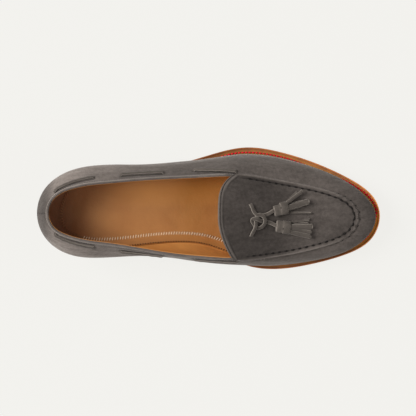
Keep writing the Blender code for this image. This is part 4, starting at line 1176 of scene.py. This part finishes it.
turns = np.linspace(breast + 0.02, 2 * math.pi - breast - 0.02, 900)
share = np.interp(np.degrees(turns), *zip(*STITCH_LINE))[:, None]
plan = sole_plan(turns) + share * (feather_plan(turns) - sole_plan(turns))
line = raised(plan, welt_top(plan[:, 0]) + 0.0001)
place, ways = paced(line, STITCH_PITCH / 2)
front = place[::2, 0] > FRONT_STITCHES
for name, part, width in (("welt_stitches", ~front, 0.0016), ("welt_stitches_toe", front, 0.0023)):
    sew(name, place[::2][part], ways[::2][part], UP, (0.0027, width, 0.0012), red_thread, 17, 0.1)
# Painted shade at the stitch holes
sew("welt_stitch_holes", place[1::2], ways[1::2], UP, (0.0010, 0.0009, 0.0003), stitch_hole_shade, 18, 0.1)

SOLE_COLUMNS = 360
sole_brown = edge_leather("sole_edge", "low", [(0.0, linear(112, 62, 26)), (1.0, linear(140, 80, 34))],
                          0.55, 0.08)
sole_tan = tan_leather("sole_bottom_leather", linear(190, 138, 84), linear(168, 116, 66), 0.45, 0.2)
angles = round_angles(SOLE_COLUMNS)
profile = [(0.0095, 0.0), (0.0076, 0.0), (0.0072, 0.0004), (0.0068, 0.0), (0.0030, 0.0), (0.0006, 0.0),
           (0.00015, 0.0002), (0.0, 0.0006), (0.0, SOLE_THICKNESS - 0.0005), (0.0004, SOLE_THICKNESS)]
points = []
for reach, height in profile:
    plan = inset(sole_plan, angles, reach)
    points.append(raised(plan, sole_bottom(plan[:, 0]) + height))
top = (len(profile) - 1) * SOLE_COLUMNS
faces = [face[::-1] for first in range(0, top, SOLE_COLUMNS)
         for face in ring_sides(first, first + SOLE_COLUMNS, SOLE_COLUMNS)]
marks = np.repeat([0] * 5 + [1] * 4 + [0], SOLE_COLUMNS)
faces += rungs(0, SOLE_COLUMNS) + rungs(top, SOLE_COLUMNS, flip=True)
low_tone = np.repeat([0.0] * 7 + [0.3, 1.0, 1.0], SOLE_COLUMNS)
dress("outsole_leather", np.concatenate(points), faces, [sole_tan, sole_brown], marks, {"low": low_tone},
      replaced=["outsole"])

# Heel
# Leather lifts stacked and nailed under the sole, their edge inked and waxed together, over a
# rubber top piece. The breast is cut hollow through all of them.
HEEL_TAPER = 0.0022          # how far the heel draws in from sole to floor
TOP_PIECE_THICKNESS = 0.006
LIFT_THICKNESS = 0.0053
BREAST_RADIUS = 0.062
BREAST_DEPTH = 0.004
heel_brown = edge_leather("heel_leather", "low", [(0.0, linear(92, 50, 20)), (1.0, linear(128, 72, 32))],
                          0.50, 0.10)
heel_rubber, tree, surface = shader("top_piece_rubber", 0.72)
mottled = ramp_of(tree, noise_of(tree, 0.002), [(0.3, linear(36, 33, 31)), (0.7, linear(48, 44, 41))])
tree.links.new(mottled, surface.inputs["Base Color"])
bump_of(tree, surface, [(noise_of(tree, 0.0007, 2.0), 0.0002)])


def heel_outline(z, inward):
    """Outline of the heel at a height, pulled in by a distance, with its hollow breast."""
    taper = HEEL_TAPER * (1 - z / HEEL_HEIGHT) + inward
    turns = np.linspace(0, 1.25 * breast, 400)
    radius = BREAST_RADIUS + inward
    middle = HEEL_LENGTH - BREAST_DEPTH + BREAST_RADIUS
    corners = []
    for sign in (1, -1):
        plan = inset(sole_plan, sign * turns, taper)
        away = np.hypot(plan[:, 0] - middle, plan[:, 1]) - radius
        corners.append(float(np.interp(0.0, -away, turns)))
    outer = inset(sole_plan, np.linspace(0, corners[0], 61), taper)
    inner = inset(sole_plan, -np.linspace(0, corners[1], 61), taper)
    turn_low, turn_high = (math.atan2(p[1], middle - p[0]) for p in (inner[-1], outer[-1]))
    arc = np.linspace(turn_high, turn_low, 40)[1:-1]
    hollow = np.stack([middle - radius * np.cos(arc), radius * np.sin(arc)], axis=1)
    return np.concatenate([outer, hollow, inner[:0:-1]])


def lift(name, low, high, finish, replaced):
    """One layer of the heel with its edges a little rounded; with no height it meets the sole."""
    rings = [raised(heel_outline(low, 0.0003), low), raised(heel_outline(low, 0.0), low + 0.0004)]
    for inward, drop in ((0.0, 0.0003), (0.0002, 0.0)):
        plan = heel_outline(high or HEEL_HEIGHT, inward)
        rings.append(raised(plan, (high or sole_bottom(plan[:, 0]) - CLEARANCE) - drop))
    count = len(rings[0])
    return dress(name, np.concatenate(rings), tube(len(rings), count, flip=True), [finish],
                 tones={"low": np.repeat([0.0, 1.0, 1.0, 0.0], count)}, replaced=[replaced])


lift("top_piece_layer", 0.0, TOP_PIECE_THICKNESS, heel_rubber, "top_piece")
low = TOP_PIECE_THICKNESS + CLEARANCE
for number in (1, 2):
    lift(f"heel_layer_{number}", low, low + LIFT_THICKNESS, heel_brown, f"heel_lift_{number}")
    low += LIFT_THICKNESS + CLEARANCE
lift("heel_layer_3", low, None, heel_brown, "heel_lift_3")

# Tassels
# Each tassel is a piece of suede cut into strips and rolled round the end of the lace. The roll
# makes a cap of two wraps, and the strips fan out of it and lie on the apron.
TASSEL_CAP_LENGTH = 0.0122
TASSEL_CAP_HALF_WIDTH = 0.0054
TASSEL_CAP_HALF_HEIGHT = 0.0030
CAP_FLATNESS = 0.88          # share of that height which is left where a cap lies on the apron
TASSEL_LIFT = 0.0006
FRINGE_LENGTH = 0.0196
STRIP_THICKNESS = 0.0011
STRIP_ROOT = 0.81            # where the strips leave the cap's core, along the cap
LAYER_PITCH = 1.25           # from layer to layer at the tips, in strip thicknesses
CAP_SIDES = 36
STRIP_STEPS = 26
STRIP_CORNERS = ((-1, 0), (-0.85, -0.4), (0.85, -0.4), (1, 0), (0.85, 0.5), (0, 0.56), (-0.85, 0.5))

# Each: name, where its cap starts as shares of length and ball width, its turn in degrees, then
# the width of the inner wrap and its shift sideways as shares of the outer wrap's, the small dark
# stitch that closes the roll, and its strips. A strip is its root and its tip across the tassel as
# shares of the cap's half width, its reach past the cap as a share of FRINGE_LENGTH, its half width
# as a share of the cap's, its layer and how far its tip turns over, in degrees.
TASSELS = [
    ("lateral", 0.685, 0.012, 11.0, 0.84, -0.13, (0.0058, 0.0008), [
        (-0.74, -1.60, 1.04, 0.20, 0, 50), (-0.37, -0.02, 0.70, 0.33, 0, -8),
        (0.37, 0.38, 0.80, 0.33, 0, 10), (0.67, 2.10, 0.54, 0.18, 1, -40),
        (0.55, 1.95, 0.78, 0.30, 2, 12), (-0.10, 0.22, 1.00, 0.45, 2, -6)]),
    ("medial", 0.692, -0.110, -7.0, 0.92, 0.0, (0.0056, -0.0012), [
        (0.72, 1.65, 0.85, 0.20, 0, -50), (0.20, 0.95, 0.83, 0.35, 0, 8),
        (-0.37, -0.30, 0.92, 0.35, 0, -8), (-0.35, -0.28, 0.98, 0.30, 1, 10),
        (0.12, 0.62, 1.00, 0.46, 2, 6), (-0.58, -0.92, 0.98, 0.36, 2, -10)]),
]


def tassel_place(x, y, degrees):
    """A function from places along, across and above a tassel to points over the apron."""
    turn = math.radians(degrees)

    def point(forward, across, height):
        forward, across, height = np.broadcast_arrays(forward, across, height)
        return on_apron(x * SHOE_LENGTH + forward * math.cos(turn) - across * math.sin(turn),
                        y * BALL_WIDTH + forward * math.sin(turn) + across * math.cos(turn), height)
    return point


def rolled_cap(point, inner_size, shift):
    """The two wraps: stations along the cap with a size and a sideways shift."""
    stations = [(0.00, inner_size * 0.55, shift, 0.5), (0.004, inner_size * 0.93, shift, 0.93),
                (0.03, inner_size, shift, 1), (0.25, inner_size, shift, 1), (0.47, inner_size, shift, 1),
                (0.472, 0.96, 0, 1.12), (0.50, 1.0, 0, 1.16), (0.70, 1.0, 0, 1.14), (0.90, 1.0, 0, 1.12),
                (0.97, 1.0, 0, 1.06), (1.00, 0.95, 0, 0.98), (1.001, 0.60, 0, 0.6)]
    wide, high = squarish(round_angles(CAP_SIDES), 0.75, 0.85)
    half_height = CAP_FLATNESS * TASSEL_CAP_HALF_HEIGHT
    rows = [point(TASSEL_CAP_LENGTH * share, TASSEL_CAP_HALF_WIDTH * (aside + size * wide),
                  TASSEL_LIFT + half_height * (1 + high * min(size, 1) * tall))
            for share, size, aside, tall in stations]
    # Rows at the cap's ends and the inner wrap's end take the painted highlight
    highlit_rows = (0, 4, 9, 10)
    marks = np.repeat([2 * (row in highlit_rows) for row in range(len(rows) - 1)], CAP_SIDES).tolist()
    return np.concatenate(rows), tube(len(rows), CAP_SIDES), marks + [2, 0]


def cut_strip(point, root, tip, reach, half_width, layer, twist):
    """One strip with a rounded tip: points, faces and 1 for faces on its cut edges and top bevels,
    which take a paler material, partly as a painted highlight.
    """
    t = 1 - (1 - np.linspace(0, 1, STRIP_STEPS)) ** 1.5
    start, end = TASSEL_CAP_LENGTH * STRIP_ROOT, TASSEL_CAP_LENGTH + FRINGE_LENGTH * reach
    forward = start + (end - start) * t
    half = TASSEL_CAP_HALF_WIDTH * half_width * (0.85 + 0.15 * t)
    left = (end - forward) / (0.8 * half[-1])
    half = half * np.sqrt(1 - (1 - np.clip(left, 0.0, 1.0)) ** 2 * 0.97)
    middle = TASSEL_CAP_HALF_WIDTH * (root + (tip - root) * t ** 1.05)
    top = TASSEL_LIFT + TASSEL_CAP_HALF_HEIGHT * (0.5 + 0.4 * layer)
    rest = TASSEL_LIFT + layer * STRIP_THICKNESS * LAYER_PITCH + STRIP_THICKNESS / 2
    height = rest + (top - rest) * (1 - t) ** 1.5
    lean = np.radians(twist) * t
    rows = []
    for wide, high in STRIP_CORNERS:
        across = half * wide * np.cos(lean) - high * STRIP_THICKNESS * np.sin(lean)
        above = half * wide * np.sin(lean) + high * STRIP_THICKNESS * np.cos(lean)
        above = above + np.abs(half * np.sin(lean))
        rows.append(point(forward, middle + across, height + above))
    sides = len(STRIP_CORNERS)
    marks = [int(side in (0, 2, 3, 6) or left[row] < 0.5)
             for row in range(STRIP_STEPS - 1) for side in range(sides)]
    rows = np.stack(rows, axis=1).reshape(-1, 3)
    return rows, tube(STRIP_STEPS, sides), marks + [0, 1]


for name, x, y, degrees, inner_size, shift, stitch, strips in TASSELS:
    point = tassel_place(x, y, degrees)
    points, faces, marks, first = [], [], [], 0
    for shape in [rolled_cap(point, inner_size, shift)] + [cut_strip(point, *strip) for strip in strips]:
        points.append(shape[0])
        faces += [tuple(i + first for i in face) for face in shape[1]]
        marks += shape[2]
        first += len(shape[0])
    dress(f"tassel_{name}_suede", np.concatenate(points), faces,
                          [lace_suede, lace_edge_and_highlight, lace_dim_highlight], marks, replaced=[f"tassel_{name}"])
    top = TASSEL_LIFT + 2 * CAP_FLATNESS * TASSEL_CAP_HALF_HEIGHT
    place = np.array([point(*stitch, top)])
    upright = unit(place - point(*stitch, 0.0))
    sew(f"tassel_{name}_stitch", place, (0.3, 1.0, 0.0), upright, (0.0019, 0.0013, 0.0004), slot_shadow_and_stitch_dark, 19)

# Tassel laces
# Two flat suede laces come up through holes in the apron, cross in a loose overhand knot and end
# inside the rolled caps.
TASSEL_LACE_HALF_WIDTH = 0.00160
TASSEL_LACE_HALF_HEIGHT = 0.00062

# Places as x and y in millimetres from the back of the shoe and its middle line, and the height
# of the lace's middle above the apron. Each lace ends on its cap's own line.
LACE_ROUTES = {
    "medial": [(185.7, 7.3, -1.6), (186.1, 6.3, 0.5), (186.8, 4.2, 1.1), (187.8, 1.4, 1.2),
               (188.9, -1.0, 2.0), (190.7, -2.5, 2.7), (193.4, -2.4, 2.8), (196.1, -4.0, 2.8),
               (197.4, -6.8, 2.8), (197.0, -10.0, 2.5), (195.0, -12.6, 1.8), (192.2, -13.9, 1.1),
               (190.2, -12.5, 0.9), (188.6, -10.6, 0.8), (187.2, -8.6, 0.8), (186.6, -6.9, 1.5),
               (187.8, -5.8, 2.4), (190.8, -6.2, 2.7), (193.8, -7.3, 1.9), (197.0, -8.0, 1.1),
               (200.2, -8.7, 1.2), (203.4, -9.5, 1.5), (206.4, -10.9, 2.6), (209.0, -12.0, 3.1)],
    "lateral": [(186.3, -21.6, -1.6), (186.5, -20.6, 0.5), (186.9, -18.9, 1.0), (187.7, -16.8, 1.5),
                (188.5, -14.6, 2.3), (189.2, -12.2, 2.4), (189.8, -9.4, 1.8), (190.0, -6.6, 1.1),
                (190.7, -4.3, 1.1), (193.0, -3.1, 1.1), (196.0, -2.8, 1.1), (199.0, -2.3, 1.2),
                (202.0, -0.9, 1.9), (204.6, 0.7, 2.8), (207.2, 1.5, 3.1)],
}


def smooth_route(route, count):
    """A smooth curve through the places of a route, read at an even pitch."""
    route = np.array(route) / 1000
    ends = np.concatenate([[2 * route[0] - route[1]], route, [2 * route[-1] - route[-2]]])
    parts = []
    for one, two, three, four in zip(ends, ends[1:], ends[2:], ends[3:]):
        t = np.linspace(0, 1, 12)[:-1, None]
        parts.append(0.5 * (2 * two + (three - one) * t + (2 * one - 5 * two + 4 * three - four) * t ** 2
                            + (3 * two - one - 3 * three + four) * t ** 3))
    line = np.concatenate(parts + [route[-1:]])
    runs = np.append(0.0, np.cumsum(np.linalg.norm(np.diff(line, axis=0), axis=1)))
    even = np.linspace(0, runs[-1], count)
    return np.stack([np.interp(even, runs, line[:, k]) for k in range(3)], axis=1)


for name, route in LACE_ROUTES.items():
    flat = smooth_route(route, 110)
    line = on_apron(flat[:, 0], flat[:, 1], flat[:, 2])
    upright = unit(on_apron(flat[:, 0], flat[:, 1], flat[:, 2] + 0.001) - line)
    points, faces, marks = lace_strand(line, upright, TASSEL_LACE_HALF_WIDTH,
                                       TASSEL_LACE_HALF_HEIGHT, 0.80)
    lace = dress(f"tassel_lace_{name}", points, faces, [lace_suede, lace_edge_and_highlight], marks,
                 replaced=["lace_bar", "lace_knot"])

# Floor and light
# A white sweep under a big soft light from behind the heel on the outer side, filled from all
# round, so that the shoe hardly throws a shadow.
FLOOR_SIZE = 6.0
FLOOR_GLOW = 0.955
KEY_SIZE = 3.2
KEY_PLACE = (-3.6, 0.8, 4.3)
KEY_POWER = 430.0
TOE_FILL_PLACE = (3.4, -0.8, 3.6)
TOE_FILL_POWER = 60.0
SKY = 0.17

floor_white = shader("floor_white", 0.9, **{
    "Base Color": linear(58, 58, 57), "Specular IOR Level": 0.0,
    "Emission Color": linear(241, 240, 236), "Emission Strength": FLOOR_GLOW})[0]
mesh = bpy.data.meshes.new("floor")
half = FLOOR_SIZE / 2
corners = [(-half, -half, 0), (half, -half, 0), (half, half, 0), (-half, half, 0)]
mesh.from_pydata(corners, [], [(0, 1, 2, 3)])
mesh.materials.append(floor_white)
put("floor", mesh)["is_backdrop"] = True

for name, place, size, power in (("key", KEY_PLACE, KEY_SIZE, KEY_POWER),
                                 ("toe_fill", TOE_FILL_PLACE, KEY_SIZE, TOE_FILL_POWER)):
    light = put(name, bpy.data.lights.new(name, "AREA"))
    light.data.size = size
    light.data.energy = power
    light.location = place
    way = np.array([0.09, 0.0, 0.03]) - np.array(place)
    light.rotation_euler = (math.acos(-way[2] / np.linalg.norm(way)), 0.0,
                            math.atan2(way[1], way[0]) - math.pi / 2)
world = bpy.data.worlds.new("sky")
world.use_nodes = True
world.node_tree.nodes["Background"].inputs["Color"].default_value = linear(250, 251, 255)
world.node_tree.nodes["Background"].inputs["Strength"].default_value = SKY
bpy.context.scene.world = world

# Size
# The frame's box and the box of the looks, as plain lists.
low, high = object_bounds()
({"cad_low": list(cad_low), "cad_high": list(cad_high),
           "low": list(low), "high": list(high)})
